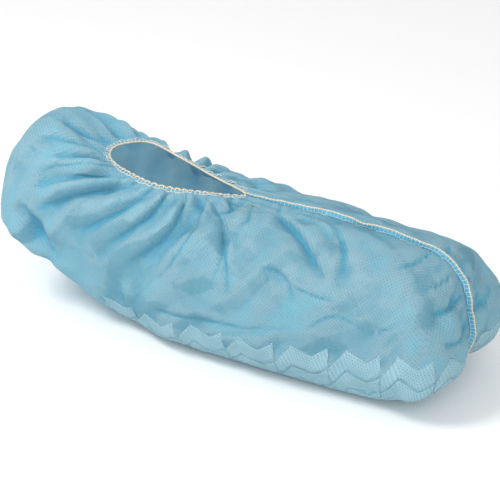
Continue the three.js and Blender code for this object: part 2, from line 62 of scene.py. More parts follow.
# %% Camera
CAMERA_ROUND = math.radians(30.7)
CAMERA_DOWN = math.radians(28.75)
CAMERA_DISTANCE = 1.2
LOOKED_AT = Vector((0.0021, 0.0, 0.045))
camera_data = bpy.data.cameras.new("camera")
camera_data.lens = 133.4
camera_data.sensor_width = 36.0
camera_data.shift_x = 0.0065
camera_data.shift_y = 0.036
camera = bpy.data.objects.new("camera", camera_data)
scene.collection.objects.link(camera)
back = Vector((
    math.sin(CAMERA_ROUND) * math.cos(CAMERA_DOWN),
    -math.cos(CAMERA_ROUND) * math.cos(CAMERA_DOWN),
    math.sin(CAMERA_DOWN),
))
right = Vector((math.cos(CAMERA_ROUND), math.sin(CAMERA_ROUND), 0.0))
above = back.cross(right)
turn = Matrix((right, above, back)).transposed().to_4x4()
camera.matrix_world = Matrix.Translation(LOOKED_AT + back * CAMERA_DISTANCE) @ turn
scene.camera = camera
print("camera at", [round(v, 2) for v in camera.matrix_world.translation])

# %% [markdown]
# A pale floor and soft light. The cover was shot under broad, even light that leaves hardly a
# shadow, so a bright surround does most of the work. One large soft lamp from the upper left gives
# the folds their shading.

# %% Floor and light
floor_mesh = bpy.data.meshes.new("floor")
FLOOR_HALF = 6.0
floor_corners = [(FLOOR_HALF * a, FLOOR_HALF * b, 0) for a, b in ((-1, -1), (1, -1), (1, 1), (-1, 1))]
floor_mesh.from_pydata(floor_corners, [], [(0, 1, 2, 3)])
floor = bpy.data.objects.new("floor", floor_mesh)
scene.collection.objects.link(floor)


def soft_lamp(name, place, target, size, watts):
    data = bpy.data.lights.new(name, "AREA")
    data.shape = "DISK"
    data.size = size
    data.energy = watts
    lamp = bpy.data.objects.new(name, data)
    lamp.location = place
    lamp.rotation_euler = (Vector(target) - Vector(place)).to_track_quat("-Z", "Y").to_euler()
    scene.collection.objects.link(lamp)
    return lamp


KEY_PLACE = (-0.50, -0.60, 1.10)
MIDDLE_OF_COVER = (0, 0, 0.05)
soft_lamp("key_lamp", KEY_PLACE, MIDDLE_OF_COVER, 0.45, 9.0)
soft_lamp("fill_lamp", (0.7, -0.9, 0.8), MIDDLE_OF_COVER, 0.9, 5.0)
world = bpy.data.worlds.new("surround")
world.use_nodes = True
surround = world.node_tree.nodes["Background"].inputs
surround["Color"].default_value = (1.0, 1.0, 1.0, 1.0)
surround["Strength"].default_value = 0.74
scene.world = world
scene.view_settings.view_transform = "Standard"

# %% [markdown]
# The form of the cover. It is described in the same way as in the CAD source, in millimetres:
# sections from heel to toe with rounded ends, and lines over that form which fan out from the rim
# of the opening, run over the widest outline and meet on the middle line of the sole. A place on
# the cloth is (round, down). Round goes from the toe seam by the near side to the heel and back by
# the far side, and down goes from the rim to the sole. That makes the cloth one neat grid, which is
# easy to gather, print on and sew along.

# %% Sizes of the form
LENGTH = 340.0
WIDTH = 120.0
HEIGHT = 124.0
TOE_SHORT = 4.2
HEEL_X = -(LENGTH - TOE_SHORT) / 2
TOE_X = HEEL_X + LENGTH
OPENING_LENGTH = 102.0
OPENING_WIDTH = 46.0
OPENING_X = HEEL_X + 169.0
FAN_X = OPENING_X - 0.58 * OPENING_LENGTH
RIM_BACK = 105.0
RIM_FRONT = 98.0
RIM_PULL = 22.0
SOLE_LEVEL = 0.7
HEEL_PLAN, TOE_PLAN = (40, 3.0), (30, 1.9)
HEEL_TOP, TOE_TOP = (40, 2.2), (30, 1.6)
HEEL_UNDER, TOE_UNDER = (140, 1.55), (86, 2.0)
HEEL_TIP, TOE_TIP = 72.0, 45.0
ROUND_TOP, ROUND_UNDER = 2.2, 3.0
CLEFT_DEPTH, CLEFT_HALF, CLEFT_REACH, CLEFT_FROM, CLEFT_TO = 12.0, 17.0, 60.0, 85.0, 45.0
SPINE_FROM, SPINE_TO = HEEL_X + 75.0, HEEL_X + 275.0
# along, half width, top, bottom, waist, each as a share of its own size
SECTIONS = np.array([
    (0.00, 0.97, 1.070, 0.000, 0.40),
    (0.15, 0.92, 0.975, -0.024, 0.39),
    (0.25, 0.92, 0.910, -0.030, 0.36),
    (0.35, 0.97, 0.830, -0.030, 0.34),
    (0.50, 1.00, 0.790, -0.030, 0.34),
    (0.65, 0.97, 0.790, -0.030, 0.34),
    (0.80, 0.92, 0.775, -0.030, 0.32),
    (0.90, 0.95, 0.730, -0.030, 0.31),
    (1.00, 1.00, 0.555, -0.030, 0.31),
])
# rim of the opening: share of its length behind the front point, share of its width
RIM_OUTLINE = np.array([
    (0.00, 0.00), (0.24, -0.30), (0.50, -0.48), (0.75, -0.41), (0.92, -0.26),
    (1.00, 0.02), (0.97, 0.30), (0.85, 0.52), (0.60, 0.39), (0.31, 0.20),
])

print(f"cover: {LENGTH:.0f} by {WIDTH:.0f} by {HEIGHT:.0f} mm, opening {OPENING_LENGTH:.0f} mm long")

# %% Curves through the tables


def smooth(t):
    return t * t * (3 - 2 * t)


def between(value, low, high):
    """0 below low, 1 above high, and a smooth step from one to the other."""
    return smooth(np.clip((value - low) / (high - low), 0, 1))


def column(t, k):
    """Smooth curve through one column of the sections."""
    x, y = SECTIONS[:, 0], SECTIONS[:, k]
    slope = np.empty_like(y)
    slope[1:-1] = (y[2:] - y[:-2]) / (x[2:] - x[:-2])
    slope[0] = (y[1] - y[0]) / (x[1] - x[0])
    slope[-1] = (y[-1] - y[-2]) / (x[-1] - x[-2])
    i = np.clip(np.searchsorted(x, t) - 1, 0, len(x) - 2)
    step = x[i + 1] - x[i]
    q = (t - x[i]) / step
    start = y[i] * (1 + 2 * q) * (1 - q) ** 2 + slope[i] * step * q * (1 - q) ** 2
    return start + y[i + 1] * q * q * (3 - 2 * q) + slope[i + 1] * step * q * q * (q - 1)


def rounding(distance, end):
    reach, power = end
    out = np.clip(1 - distance / reach, 0, 1)
    return np.maximum(1 - out ** power, 0) ** (1 / power)


def section(x):
    """Half width, top, bottom and waist of the section at x."""
    from_heel = np.clip(x - HEEL_X, 0, LENGTH)
    from_toe = LENGTH - from_heel
    t = from_heel / LENGTH
    tip = np.where(t < 0.5, HEEL_TIP, TOE_TIP)
    half = column(t, 1) * WIDTH / 2 * rounding(from_heel, HEEL_PLAN) * rounding(from_toe, TOE_PLAN)
    over = rounding(from_heel, HEEL_TOP) * rounding(from_toe, TOE_TOP)
    under = rounding(from_heel, HEEL_UNDER) * rounding(from_toe, TOE_UNDER)
    tops = tip + (column(t, 2) * HEIGHT - tip) * over
    bottoms = tip + (column(t, 3) * HEIGHT - tip) * under
    at_tip = np.maximum(1 - from_heel / HEEL_UNDER[0], 1 - from_toe / TOE_TOP[0])
    at_tip = np.maximum(at_tip, 0) ** 2
    waist = column(t, 4) * HEIGHT * (1 - at_tip) + tip * at_tip
    return half, tops, bottoms, np.clip(waist, bottoms, tops)


def heights(x, y):
    """Height of the form over and under a place in plan."""
    half, tops, bottoms, waist = section(x)
    out = np.clip(np.abs(y) / np.maximum(half, 1e-6), 0, 1)
    over = waist + (tops - waist) * (1 - out ** ROUND_TOP) ** (1 / ROUND_TOP)
    under = waist - (waist - bottoms) * (1 - out ** ROUND_UNDER) ** (1 / ROUND_UNDER)
    return over, np.maximum(under, SOLE_LEVEL)


# %% The widest outline and the rim
outline_angle = np.linspace(0, np.pi, 721)
outline_x = HEEL_X + LENGTH * (1 + np.cos(outline_angle)) / 2
outline_half = section(outline_x)[0]
outline_half[[0, -1]] = 0
OUTLINE = np.vstack([np.c_[outline_x, -outline_half], np.c_[outline_x[::-1], outline_half[::-1]][1:]])
outline_run = np.r_[0, np.cumsum(np.linalg.norm(np.diff(OUTLINE, axis=0), axis=1))]
PERIMETER = outline_run[-1]


def closed_curve(corners, steps=48):
    """Smooth closed curve through its corners."""
    q = (np.arange(steps) / steps)[:, None]
    parts = []
    for i in range(len(corners)):
        a, b, c, d = (corners[(i + k - 1) % len(corners)] for k in range(4))
        bent = (2 * a - 5 * b + 4 * c - d) * q ** 2 + (3 * b - a - 3 * c + d) * q ** 3
        parts.append(0.5 * (2 * b + (c - a) * q + bent))
    return np.vstack(parts)


rim_corners = np.c_[OPENING_X - RIM_OUTLINE[:, 0] * OPENING_LENGTH, RIM_OUTLINE[:, 1] * OPENING_WIDTH]
rim_curve = closed_curve(rim_corners)
rim_angle = np.arctan2(-rim_curve[:, 1], rim_curve[:, 0] - FAN_X) % (2 * np.pi)
rim_reach = np.linalg.norm(rim_curve - [FAN_X, 0], axis=1)
order = np.argsort(rim_angle)
rim_round = np.linalg.norm(np.diff(rim_curve, axis=0), axis=1).sum()
print(f"outline {PERIMETER:.0f} mm, rim {rim_round:.0f} mm")

# %% Lines from the rim to the sole


def running_length(lines):
    """Length run along each line up to each of its points."""
    steps = np.linalg.norm(np.diff(lines, axis=1), axis=2)
    return np.concatenate([np.zeros((len(lines), 1)), np.cumsum(steps, axis=1)], axis=1)


def plain_lines(rounds, over_steps=70, under_steps=44):
    """The lines of the plain form at the given rounds, as fine samples with their running lengths."""
    run = (rounds % 1) * PERIMETER
    edge = np.stack([np.interp(run, outline_run, OUTLINE[:, k]) for k in range(2)], axis=1)
    angle = np.arctan2(-edge[:, 1], edge[:, 0] - FAN_X) % (2 * np.pi)
    reach = np.interp(angle, rim_angle[order], rim_reach[order], period=2 * np.pi)
    rim = np.c_[FAN_X + reach * np.cos(angle), -reach * np.sin(angle)]
    foot = np.c_[np.clip(edge[:, 0], SPINE_FROM, SPINE_TO), np.zeros(len(edge))]
    out = np.sin(np.linspace(0, 1, over_steps) * np.pi / 2)[None, :, None]
    home = (1 - np.cos(np.linspace(0, 1, under_steps) * np.pi / 2))[None, :, None]
    over = rim[:, None] + (edge - rim)[:, None] * out
    under = edge[:, None] + (foot - edge)[:, None] * home
    over_z = heights(over[..., 0], over[..., 1])[0]
    under_z = heights(under[..., 0], under[..., 1])[1]
    rim_z = RIM_FRONT + (RIM_BACK - RIM_FRONT) * np.clip((OPENING_X - rim[:, 0]) / OPENING_LENGTH, 0, 1)
    away = np.linalg.norm(over - rim[:, None], axis=2)
    over_z = over_z + (rim_z - over_z[:, 0])[:, None] * np.exp(-((away / RIM_PULL) ** 2))
    p = np.concatenate([np.dstack([over, over_z]), np.dstack([under, under_z])[:, 1:]], axis=1)
    forward = smooth(np.clip(1 - (TOE_X - p[..., 0]) / CLEFT_REACH, 0, 1))
    low = smooth(np.clip((CLEFT_FROM - p[..., 2]) / (CLEFT_FROM - CLEFT_TO), 0, 1))
    p[..., 0] -= CLEFT_DEPTH * forward * low * np.exp(-((p[..., 1] / CLEFT_HALF) ** 2))
    return p, running_length(p)


def places(rounds, downs, start=0.0):
    """Points of the plain form for every round and every down, starting a little outside the rim."""
    lines, run = plain_lines(rounds)
    points = np.empty((len(rounds), len(downs), 3))
    for i in range(len(rounds)):
        wanted = start + downs * (run[i, -1] - start)
        for k in range(3):
            points[i, :, k] = np.interp(wanted, run[i], lines[i, :, k])
    return points, run[:, -1]


def grid_normals(points):
    """Outward directions on a grid that closes on itself round the cover."""
    beside = np.roll(points, -1, axis=0) - np.roll(points, 1, axis=0)
    ahead = np.empty_like(points)
    ahead[:, 1:-1] = points[:, 2:] - points[:, :-2]
    ahead[:, 0] = points[:, 1] - points[:, 0]
    ahead[:, -1] = points[:, -1] - points[:, -2]
    normal = np.cross(beside, ahead)
    return normal / np.maximum(np.linalg.norm(normal, axis=2, keepdims=True), 1e-9)


# %% [markdown]
# The main folds. Each one is a stroke over the cloth, from (round, down) over a middle to an end,
# with a width and a depth as shares of the cover's width. Cloth can't stretch, so a valley raises a
# soft shoulder beside it. The rows follow the CAD's own folds, so what is seen and what is solid go
# together. Some are shallower here, and all are a little narrower, because the simulation and the
# creases add to them. Two wide dents without shoulders press the cloth in below the heel and the
# toe, where the picture's outline is hollow.

# %% Table of folds
# from round, down, over round, down, to round, down, wide, deep
FOLDS = [
    (0.515, 0.02, 0.495, 0.08, 0.478, 0.18, 0.062, 0.035),
    (0.475, 0.02, 0.46, 0.12, 0.452, 0.24, 0.062, 0.025),
    (0.44, 0.01, 0.436, 0.1, 0.43, 0.2, 0.062, 0.035),
    (0.38, 0.03, 0.398, 0.16, 0.415, 0.3, 0.069, 0.055),
    (0.34, 0.05, 0.385, 0.3, 0.408, 0.56, 0.088, 0.045),
    (0.415, 0.44, 0.4, 0.5, 0.385, 0.6, 0.1, 0.055),
    (0.3, 0.03, 0.335, 0.22, 0.365, 0.42, 0.075, 0.03),
    (0.25, 0.03, 0.298, 0.16, 0.345, 0.42, 0.075, 0.04),
    (0.195, 0.05, 0.272, 0.23, 0.315, 0.48, 0.088, 0.045),
    (0.05, 0.05, 0.12, 0.11, 0.205, 0.13, 0.075, 0.035),
    (0.045, 0.16, 0.068, 0.27, 0.1, 0.43, 0.075, 0.026),
    (0.036, 0.29, 0.058, 0.36, 0.08, 0.44, 0.075, 0.02),
    (0.178, 0.18, 0.2, 0.27, 0.22, 0.38, 0.112, 0.035),
    (0.172, 0.38, 0.166, 0.44, 0.163, 0.5, 0.062, 0.015),
    (0.285, 0.52, 0.215, 0.557, 0.17, 0.57, 0.06, 0.01),
    (0.152, 0.56, 0.132, 0.556, 0.108, 0.585, 0.06, 0.004),
    (0.006, 0.53, 0.018, 0.52, 0.036, 0.5, 0.06, 0.014),
    (0.006, 0.61, 0.02, 0.6, 0.042, 0.575, 0.06, 0.025),
    (0.006, 0.69, 0.022, 0.675, 0.044, 0.655, 0.06, 0.02),
    (0.994, 0.57, 0.978, 0.56, 0.962, 0.54, 0.06, 0.018),
    (0.994, 0.66, 0.978, 0.65, 0.96, 0.63, 0.06, 0.018),
    (0.55, 0.02, 0.548, 0.1, 0.545, 0.22, 0.062, 0.04),
    (0.585, 0.02, 0.583, 0.14, 0.572, 0.28, 0.062, 0.045),
    (0.62, 0.02, 0.612, 0.16, 0.6, 0.34, 0.069, 0.04),
    (0.655, 0.03, 0.64, 0.2, 0.625, 0.45, 0.075, 0.045),
    (0.7, 0.03, 0.675, 0.22, 0.655, 0.48, 0.081, 0.04),
    (0.75, 0.03, 0.71, 0.22, 0.69, 0.45, 0.081, 0.045),
    (0.81, 0.04, 0.76, 0.2, 0.735, 0.45, 0.088, 0.04),
    (0.93, 0.05, 0.87, 0.14, 0.82, 0.3, 0.075, 0.035),
    (0.955, 0.2, 0.93, 0.32, 0.9, 0.46, 0.075, 0.035),
    (0.83, 0.35, 0.82, 0.45, 0.8, 0.55, 0.075, 0.03),
    (0.568, 0.03, 0.566, 0.07, 0.562, 0.13, 0.06, -0.03),
    (0.603, 0.03, 0.6, 0.07, 0.592, 0.13, 0.06, -0.03),
    (0.64, 0.03, 0.634, 0.07, 0.624, 0.13, 0.06, -0.018),
    (0.68, 0.03, 0.67, 0.07, 0.66, 0.13, 0.06, -0.022),
    (0.725, 0.03, 0.715, 0.07, 0.7, 0.13, 0.062, -0.04),
    (0.775, 0.03, 0.76, 0.07, 0.745, 0.12, 0.06, -0.04),
    (0.835, 0.03, 0.815, 0.07, 0.795, 0.12, 0.062, -0.045),
]
# dents, in the same columns
DENTS = [
    (0.385, 0.55, 0.352, 0.57, 0.32, 0.58, 0.16, 0.035),
    (0.13, 0.6, 0.08, 0.61, 0.01, 0.61, 0.15, 0.035),
]
FOLD_STEPS = 8
print(len(FOLDS), "folds and", len(DENTS), "dents")

# %% Strokes over the cloth


def soft_valley(out):
    """A rounded valley with soft shoulders."""
    return (1 - 1.2 * out ** 2) * np.exp(-out ** 2)


def dent(out):
    """A round dent with no shoulders."""
    return np.exp(-out ** 2)


def sharp_valley(out):
    """A pointed valley with low, wide shoulders."""
    return 1.25 * np.exp(-2.2 * out) - 0.25 * np.exp(-(((out - 1.3) / 0.7) ** 2))


def fold_move(points, table, profile=soft_valley, narrower=1.0):
    """How far the folds move each point, outward positive, in millimetres."""
    flat = points.reshape(-1, 3)
    move = np.zeros(len(flat))
    t = np.linspace(0, 1, FOLD_STEPS + 1)
    ahead, middle, end = (1 - t) * (1 - 2 * t), 4 * t * (1 - t), t * (2 * t - 1)
    for row in table:
        rounds = row[0] * ahead + row[2] * middle + row[4] * end
        downs = row[1] * ahead + row[3] * middle + row[5] * end
        stroke = np.array([places(np.array([u]), np.array([v]))[0][0, 0] for u, v in zip(rounds, downs)])
        wide = row[6] * WIDTH * narrower
        deep = row[7] * WIDTH
        close = np.linalg.norm(flat - stroke[FOLD_STEPS // 2], axis=1)
        chosen = np.nonzero(close < np.ptp(stroke, axis=0).max() + 5 * wide)[0]
        nearest = np.full(len(chosen), np.inf)
        share = np.zeros(len(chosen))
        for k in range(FOLD_STEPS):
            step = stroke[k + 1] - stroke[k]
            from_start = flat[chosen] - stroke[k]
            q = np.clip(from_start @ step / max(step @ step, 1e-9), 0, 1)
            distance = np.linalg.norm(from_start - q[:, None] * step, axis=1)
            closer = distance < nearest
            nearest[closer] = distance[closer]
            share[closer] = (k + q[closer]) / FOLD_STEPS
        out = nearest / (wide * (0.8 + 0.7 * share))
        strength = np.sqrt(np.sin(np.pi * np.clip(0.12 + 0.88 * share, 0, 1)))
        move[chosen] -= deep * strength * profile(out)
    return move.reshape(points.shape[:2])


# %% The cloth as a coarse grid, with its main folds
COARSE_COLUMNS, COARSE_RINGS = 220, 56
RIM_START = 0.7
coarse_round = np.arange(COARSE_COLUMNS) / COARSE_COLUMNS
ring_share = np.linspace(0, 1, COARSE_RINGS)
# 85% of the rings go to the first 72% of each line, where the gathers are
above_part = ring_share * 0.72 / 0.85
below_part = 0.72 + (ring_share - 0.85) * 0.28 / 0.15
coarse_down = np.where(ring_share < 0.85, above_part, below_part)
plain, line_length = places(coarse_round, coarse_down, RIM_START)
facing = grid_normals(plain)
from_rim = coarse_down[None, :] * line_length[:, None]
held = between(from_rim, 0, 12.0)
under = plain[..., 2] <= SOLE_LEVEL + 1e-6
fold_lift = 0.9 * fold_move(plain, FOLDS, narrower=0.8) + fold_move(plain, DENTS, dent)
lift = np.where(under, 0, held * fold_lift)
folded = plain + facing * lift[..., None]
folded[..., 2] = np.maximum(folded[..., 2], SOLE_LEVEL)
print("coarse grid:", folded.shape, "fold depth", lift.min().round(1), lift.max().round(1))

# %% [markdown]
# Irregular waves. Sine waves of random direction and length, added up, make a smooth noise. The
# seed is fixed, so that it repeats exactly on every run. It makes the gathers wander, starts the
# cloth's buckling and bends the facets further down.

# %% Noise made of waves


def waves(points, size, seed, count=9):
    """Smooth noise from about -1 to 1 with features of the given size."""
    chance = np.random.default_rng(seed)
    total = np.zeros(points.shape[:-1])
    for _ in range(count):
        direction = chance.normal(size=points.shape[-1])
        direction /= np.linalg.norm(direction)
        number = 2 * np.pi / (size * chance.uniform(0.75, 1.35))
        total += np.sin(points @ direction * number + chance.uniform(0, 2 * np.pi))
    return total / math.sqrt(count / 2) / 1.6


print("noise spreads by", waves(plain, 40.0, 1).std().round(2))


# %% [markdown]
# A short cloth simulation makes the gathers. Before the elastic was sewn in, the edge of the
# opening was about half as long again as it is now. So the sheet gets a rest shape with a wider
# mouth, and starts in the gathered one: held at the rim, along the seam and under the sole, it has
# too much cloth and must buckle. It buckles where the main folds already invite it, in the soft
# irregular fan that no formula gives. The seam's thread shortens the cloth beside it in the same
# way, which is told as a local growth of the sheet.

# %% The shape before gathering
EXTRA_AT_RIM = 0.44
EXTRA_REACH = 95.0


def before_gathering(points, from_rim):
    """The grid with a wider mouth, and with the lengths of its lines kept."""
    extra = EXTRA_AT_RIM * (1 - between(from_rim, 0, EXTRA_REACH)) ** 1.5
    rest = points.copy()
    rest[..., :2] = [FAN_X, 0] + (points[..., :2] - [FAN_X, 0]) * (1 + extra[..., None])
    long = np.linalg.norm(np.diff(points, axis=1), axis=2)
    flat = np.linalg.norm(np.diff(rest[..., :2], axis=1), axis=2)
    rise = np.sqrt(np.maximum(long ** 2 - flat ** 2, 0))
    for j in range(points.shape[1] - 2, -1, -1):
        inside = from_rim[:, j] < EXTRA_REACH
        rest[inside, j, 2] = rest[inside, j + 1, 2] + rise[inside, j]
    return rest


# %% Let the cloth buckle


def grid_faces(columns, rings):
    i, j = np.meshgrid(np.arange(columns), np.arange(rings - 1), indexing="ij")
    a = i * rings + j
    b = (i + 1) % columns * rings + j
    return np.stack([a, b, b + 1, a + 1], axis=-1).reshape(-1, 4)


def buckle(points, rest, hold, fitted, frames):
    """The grid after the cloth has found its own waves."""
    mesh = bpy.data.meshes.new("buckling")
    mesh.from_pydata((points.reshape(-1, 3) * MM).tolist(), [], grid_faces(*points.shape[:2]).tolist())
    sheet = bpy.data.objects.new("buckling", mesh)
    scene.collection.objects.link(sheet)
    sheet.shape_key_add(name="now")
    wide = sheet.shape_key_add(name="before gathering")
    wide.data.foreach_set("co", (rest * MM).reshape(-1))
    held_group = sheet.vertex_groups.new(name="held")
    fitted_group = sheet.vertex_groups.new(name="fitted")
    for k, (weight, fit) in enumerate(zip(hold.reshape(-1), fitted.reshape(-1))):
        held_group.add([k], float(weight), "REPLACE")
        fitted_group.add([k], float(fit), "REPLACE")
    cloth = sheet.modifiers.new("cloth", "CLOTH")
    settings = cloth.settings
    settings.rest_shape_key = sheet.data.shape_keys.key_blocks["before gathering"]
    settings.quality = 8
    settings.mass = 0.05
    settings.tension_stiffness = 15
    settings.compression_stiffness = 15
    settings.shear_stiffness = 5
    settings.bending_stiffness = 0.08
    settings.air_damping = 3.0
    settings.vertex_group_mass = "held"
    settings.pin_stiffness = 1.0
    settings.vertex_group_shrink = "fitted"
    settings.shrink_min = -0.10
    settings.shrink_max = 0.0
    settings.effector_weights.gravity = 0.0
    cloth.collision_settings.use_self_collision = False
    cloth.point_cache.frame_start = 1
    cloth.point_cache.frame_end = frames
    for k in range(1, frames + 1):
        scene.frame_set(k)
    shape = sheet.evaluated_get(bpy.context.evaluated_depsgraph_get()).data
    found = np.empty(len(shape.vertices) * 3)
    shape.vertices.foreach_get("co", found)
    scene.frame_set(1)
    bpy.data.objects.remove(sheet)
    return found.reshape(points.shape) / MM


SIMULATED_FRAMES = 30
MOST_MOVE = 7.0
column_number = np.arange(COARSE_COLUMNS)
columns_from_seam = np.minimum(column_number, COARSE_COLUMNS - column_number)[:, None]
to_seam = np.abs(plain[..., 1]) + 400.0 * (plain[..., 0] < OPENING_X - 20)
hold = 0.02 + 0.10 * between(from_rim, 30.0, 110.0)
hold = np.maximum(hold, from_rim < 0.1)
hold = np.maximum(hold, columns_from_seam == 0)
hold = np.maximum(hold, np.broadcast_to(between(coarse_down, 0.76, 0.84), hold.shape))
growth = 0.35 + 0.65 * np.exp(-((to_seam / 16.0) ** 2))
fitted = 1 - growth * (1 - between(coarse_down, 0.7, 0.8))
buckled = folded
rim_gap = np.linalg.norm(np.roll(folded[:, 0], -1, axis=0) - folded[:, 0], axis=1)
rim_place = np.r_[0, np.cumsum(rim_gap)[:-1]] / rim_gap.sum()
seeds = np.sin(2 * np.pi * 21 * rim_place + 2.0 * np.sin(2 * np.pi * 3 * rim_place))[:, None]
seeded = 0.8 * seeds * between(from_rim, 0, 8) * (1 - between(from_rim, 14, 50))
start_shape = folded + facing * seeded[..., None]
start_shape += facing * (0.25 * waves(folded, 16.0, 5) * (1 - hold))[..., None]
buckled = buckle(start_shape, before_gathering(plain, from_rim), hold, fitted, SIMULATED_FRAMES)
moved = np.linalg.norm(buckled - folded, axis=2)
print("cloth moved by", moved.mean().round(2), "mm on average, at most", moved.max().round(1))
kept_share = np.minimum(moved, MOST_MOVE) / np.maximum(moved, 1e-9)
buckled = folded + (buckled - folded) * kept_share[..., None]

# %% [markdown]
# Creases. Between the soft folds the cloth is bent sharply in places: long gathers that run far
# down the heel's side, a facet below the front of the opening, crumples over the sole and short
# puckers beside the toe seam. They are strokes too, narrower than the folds and with a sharp
# valley: the depth falls off as a pointed curve. A row with a negative depth is a raised edge.

# %% Table of creases
# from round, down, over round, down, to round, down, wide, deep, in shares of the width
CREASES = [
    (0.505, 0.01, 0.492, 0.09, 0.48, 0.22, 0.032, 0.007),
    (0.47, 0.01, 0.458, 0.12, 0.455, 0.27, 0.03, 0.007),
    (0.44, 0.01, 0.437, 0.09, 0.432, 0.24, 0.036, 0.012),
    (0.405, 0.01, 0.415, 0.12, 0.423, 0.3, 0.032, 0.009),
    (0.365, 0.04, 0.39, 0.16, 0.415, 0.33, 0.038, 0.016),
    (0.335, 0.02, 0.372, 0.2, 0.402, 0.4, 0.034, 0.01),
    (0.41, 0.42, 0.4, 0.5, 0.382, 0.6, 0.045, 0.006),
    (0.3, 0.01, 0.33, 0.16, 0.362, 0.36, 0.034, 0.011),
    (0.262, 0.01, 0.295, 0.12, 0.338, 0.34, 0.034, 0.012),
    (0.225, 0.02, 0.262, 0.16, 0.315, 0.36, 0.032, 0.01),
    (0.19, 0.04, 0.235, 0.18, 0.285, 0.38, 0.036, 0.012),
    (0.155, 0.06, 0.195, 0.2, 0.235, 0.4, 0.036, 0.009),
    (0.045, 0.02, 0.11, 0.09, 0.19, 0.115, 0.034, 0.011),
    (0.03, 0.06, 0.095, 0.145, 0.165, 0.2, 0.03, 0.007),
    (0.04, 0.15, 0.066, 0.27, 0.102, 0.42, 0.036, 0.014),
    (0.02, 0.17, 0.034, 0.28, 0.092, 0.41, 0.03, -0.01),
    (0.2, 0.22, 0.215, 0.32, 0.222, 0.44, 0.04, 0.009),
    (0.175, 0.37, 0.16, 0.42, 0.168, 0.5, 0.026, 0.005),
    (0.155, 0.45, 0.135, 0.49, 0.118, 0.5, 0.024, 0.006),
    (0.285, 0.515, 0.215, 0.552, 0.172, 0.565, 0.026, 0.005),
    (0.158, 0.575, 0.132, 0.548, 0.106, 0.59, 0.024, 0.003),
    (0.245, 0.6, 0.215, 0.575, 0.19, 0.585, 0.022, 0.004),
    (0.09, 0.585, 0.075, 0.56, 0.052, 0.575, 0.022, 0.004),
    (0.004, 0.1, 0.02, 0.115, 0.042, 0.145, 0.026, 0.007),
    (0.004, 0.49, 0.02, 0.475, 0.04, 0.45, 0.028, 0.009),
    (0.004, 0.56, 0.018, 0.55, 0.042, 0.52, 0.026, 0.007),
    (0.004, 0.62, 0.018, 0.61, 0.048, 0.575, 0.028, 0.008),
    (0.004, 0.69, 0.02, 0.68, 0.046, 0.65, 0.026, 0.007),
    (0.996, 0.52, 0.98, 0.51, 0.955, 0.48, 0.028, 0.005),
    (0.996, 0.6, 0.98, 0.59, 0.955, 0.56, 0.028, 0.006),
    (0.996, 0.67, 0.98, 0.66, 0.955, 0.63, 0.028, 0.006),
    (0.54, 0.01, 0.538, 0.1, 0.535, 0.24, 0.034, 0.011),
    (0.585, 0.01, 0.582, 0.1, 0.575, 0.22, 0.03, 0.006),
    (0.622, 0.01, 0.615, 0.1, 0.604, 0.24, 0.03, 0.004),
    (0.66, 0.01, 0.65, 0.12, 0.638, 0.28, 0.032, 0.004),
    (0.7, 0.01, 0.685, 0.12, 0.668, 0.3, 0.032, 0.01),
    (0.75, 0.01, 0.727, 0.12, 0.705, 0.3, 0.034, 0.011),
    (0.805, 0.01, 0.775, 0.12, 0.75, 0.32, 0.034, 0.011),
    (0.87, 0.02, 0.84, 0.1, 0.8, 0.24, 0.034, 0.01),
    (0.94, 0.03, 0.89, 0.1, 0.83, 0.16, 0.034, 0.01),
    (0.92, 0.3, 0.9, 0.38, 0.88, 0.5, 0.034, 0.009),
    (0.8, 0.4, 0.78, 0.48, 0.76, 0.58, 0.034, 0.009),
    (0.67, 0.42, 0.66, 0.5, 0.655, 0.58, 0.034, 0.007),
    (0.56, 0.4, 0.55, 0.46, 0.545, 0.56, 0.036, 0.009),
]
print(len(CREASES), "creases")

# %% [markdown]
# The same grid, twice as fine each way, takes the small gathers. Elastic bunches the cloth at the
# rim in folds a few millimetres apart, which run together into wider ones as they leave it. So
# there are two layers of gathers, the wider one starting further out than the narrow one.

# %% Refine the grid


def refine(points, wrap):
    """Twice as many points along the first axis, on smooth curves through the old ones."""
    before = np.roll(points, 1, axis=0)
    after = np.roll(points, -1, axis=0)
    beyond = np.roll(points, -2, axis=0)
    if not wrap:
        before[0] = 2 * points[0] - points[1]
        after[-1] = points[-1]
        beyond[-2] = 2 * points[-1] - points[-2]
    middle = (9 * (points + after) - before - beyond) / 16
    both = np.stack([points, middle], axis=1).reshape(-1, *points.shape[1:])
    return both if wrap else both[:-1]


def refine_grid(points):
    return np.swapaxes(refine(np.swapaxes(refine(points, True), 0, 1), False), 0, 1)


fine = refine_grid(buckled)
COLUMNS, RINGS = fine.shape[:2]
round_share = np.arange(COLUMNS) / COLUMNS
down_share = refine(coarse_down[:, None], False)[:, 0]
fine_length = plain_lines(round_share)[1][:, -1]
rim_distance = down_share[None, :] * fine_length[:, None]
print("fine grid:", COLUMNS, "columns,", RINGS, "rings")

# %% Gathers along the rim
rim_ring = fine[:, 0]
rim_step = np.linalg.norm(np.roll(rim_ring, -1, axis=0) - rim_ring, axis=1)
rim_run = np.r_[0, np.cumsum(rim_step)[:-1]]
RIM_LENGTH = rim_step.sum()
round_from_seam = np.minimum(round_share, 1 - round_share)
at_seam = round_from_seam[:, None] * PERIMETER
rim_wander = waves(np.c_[rim_run, np.zeros(COLUMNS)], 40.0, 11)[:, None]


def gathers(count, reach_in, reach_out, drift, seed):
    """Rounded ridges with sharp valleys that fan out from the rim between two distances from it."""
    meander = 0.5 * waves(fine, 60.0, seed)
    phase = np.pi * count * (rim_run / RIM_LENGTH)[:, None] + drift * rim_wander + meander
    ridge = np.abs(np.sin(phase)) ** 0.8 - 0.68
    window = between(rim_distance, -1.0, reach_in) * (1 - between(rim_distance, reach_in, reach_out))
    return ridge * window


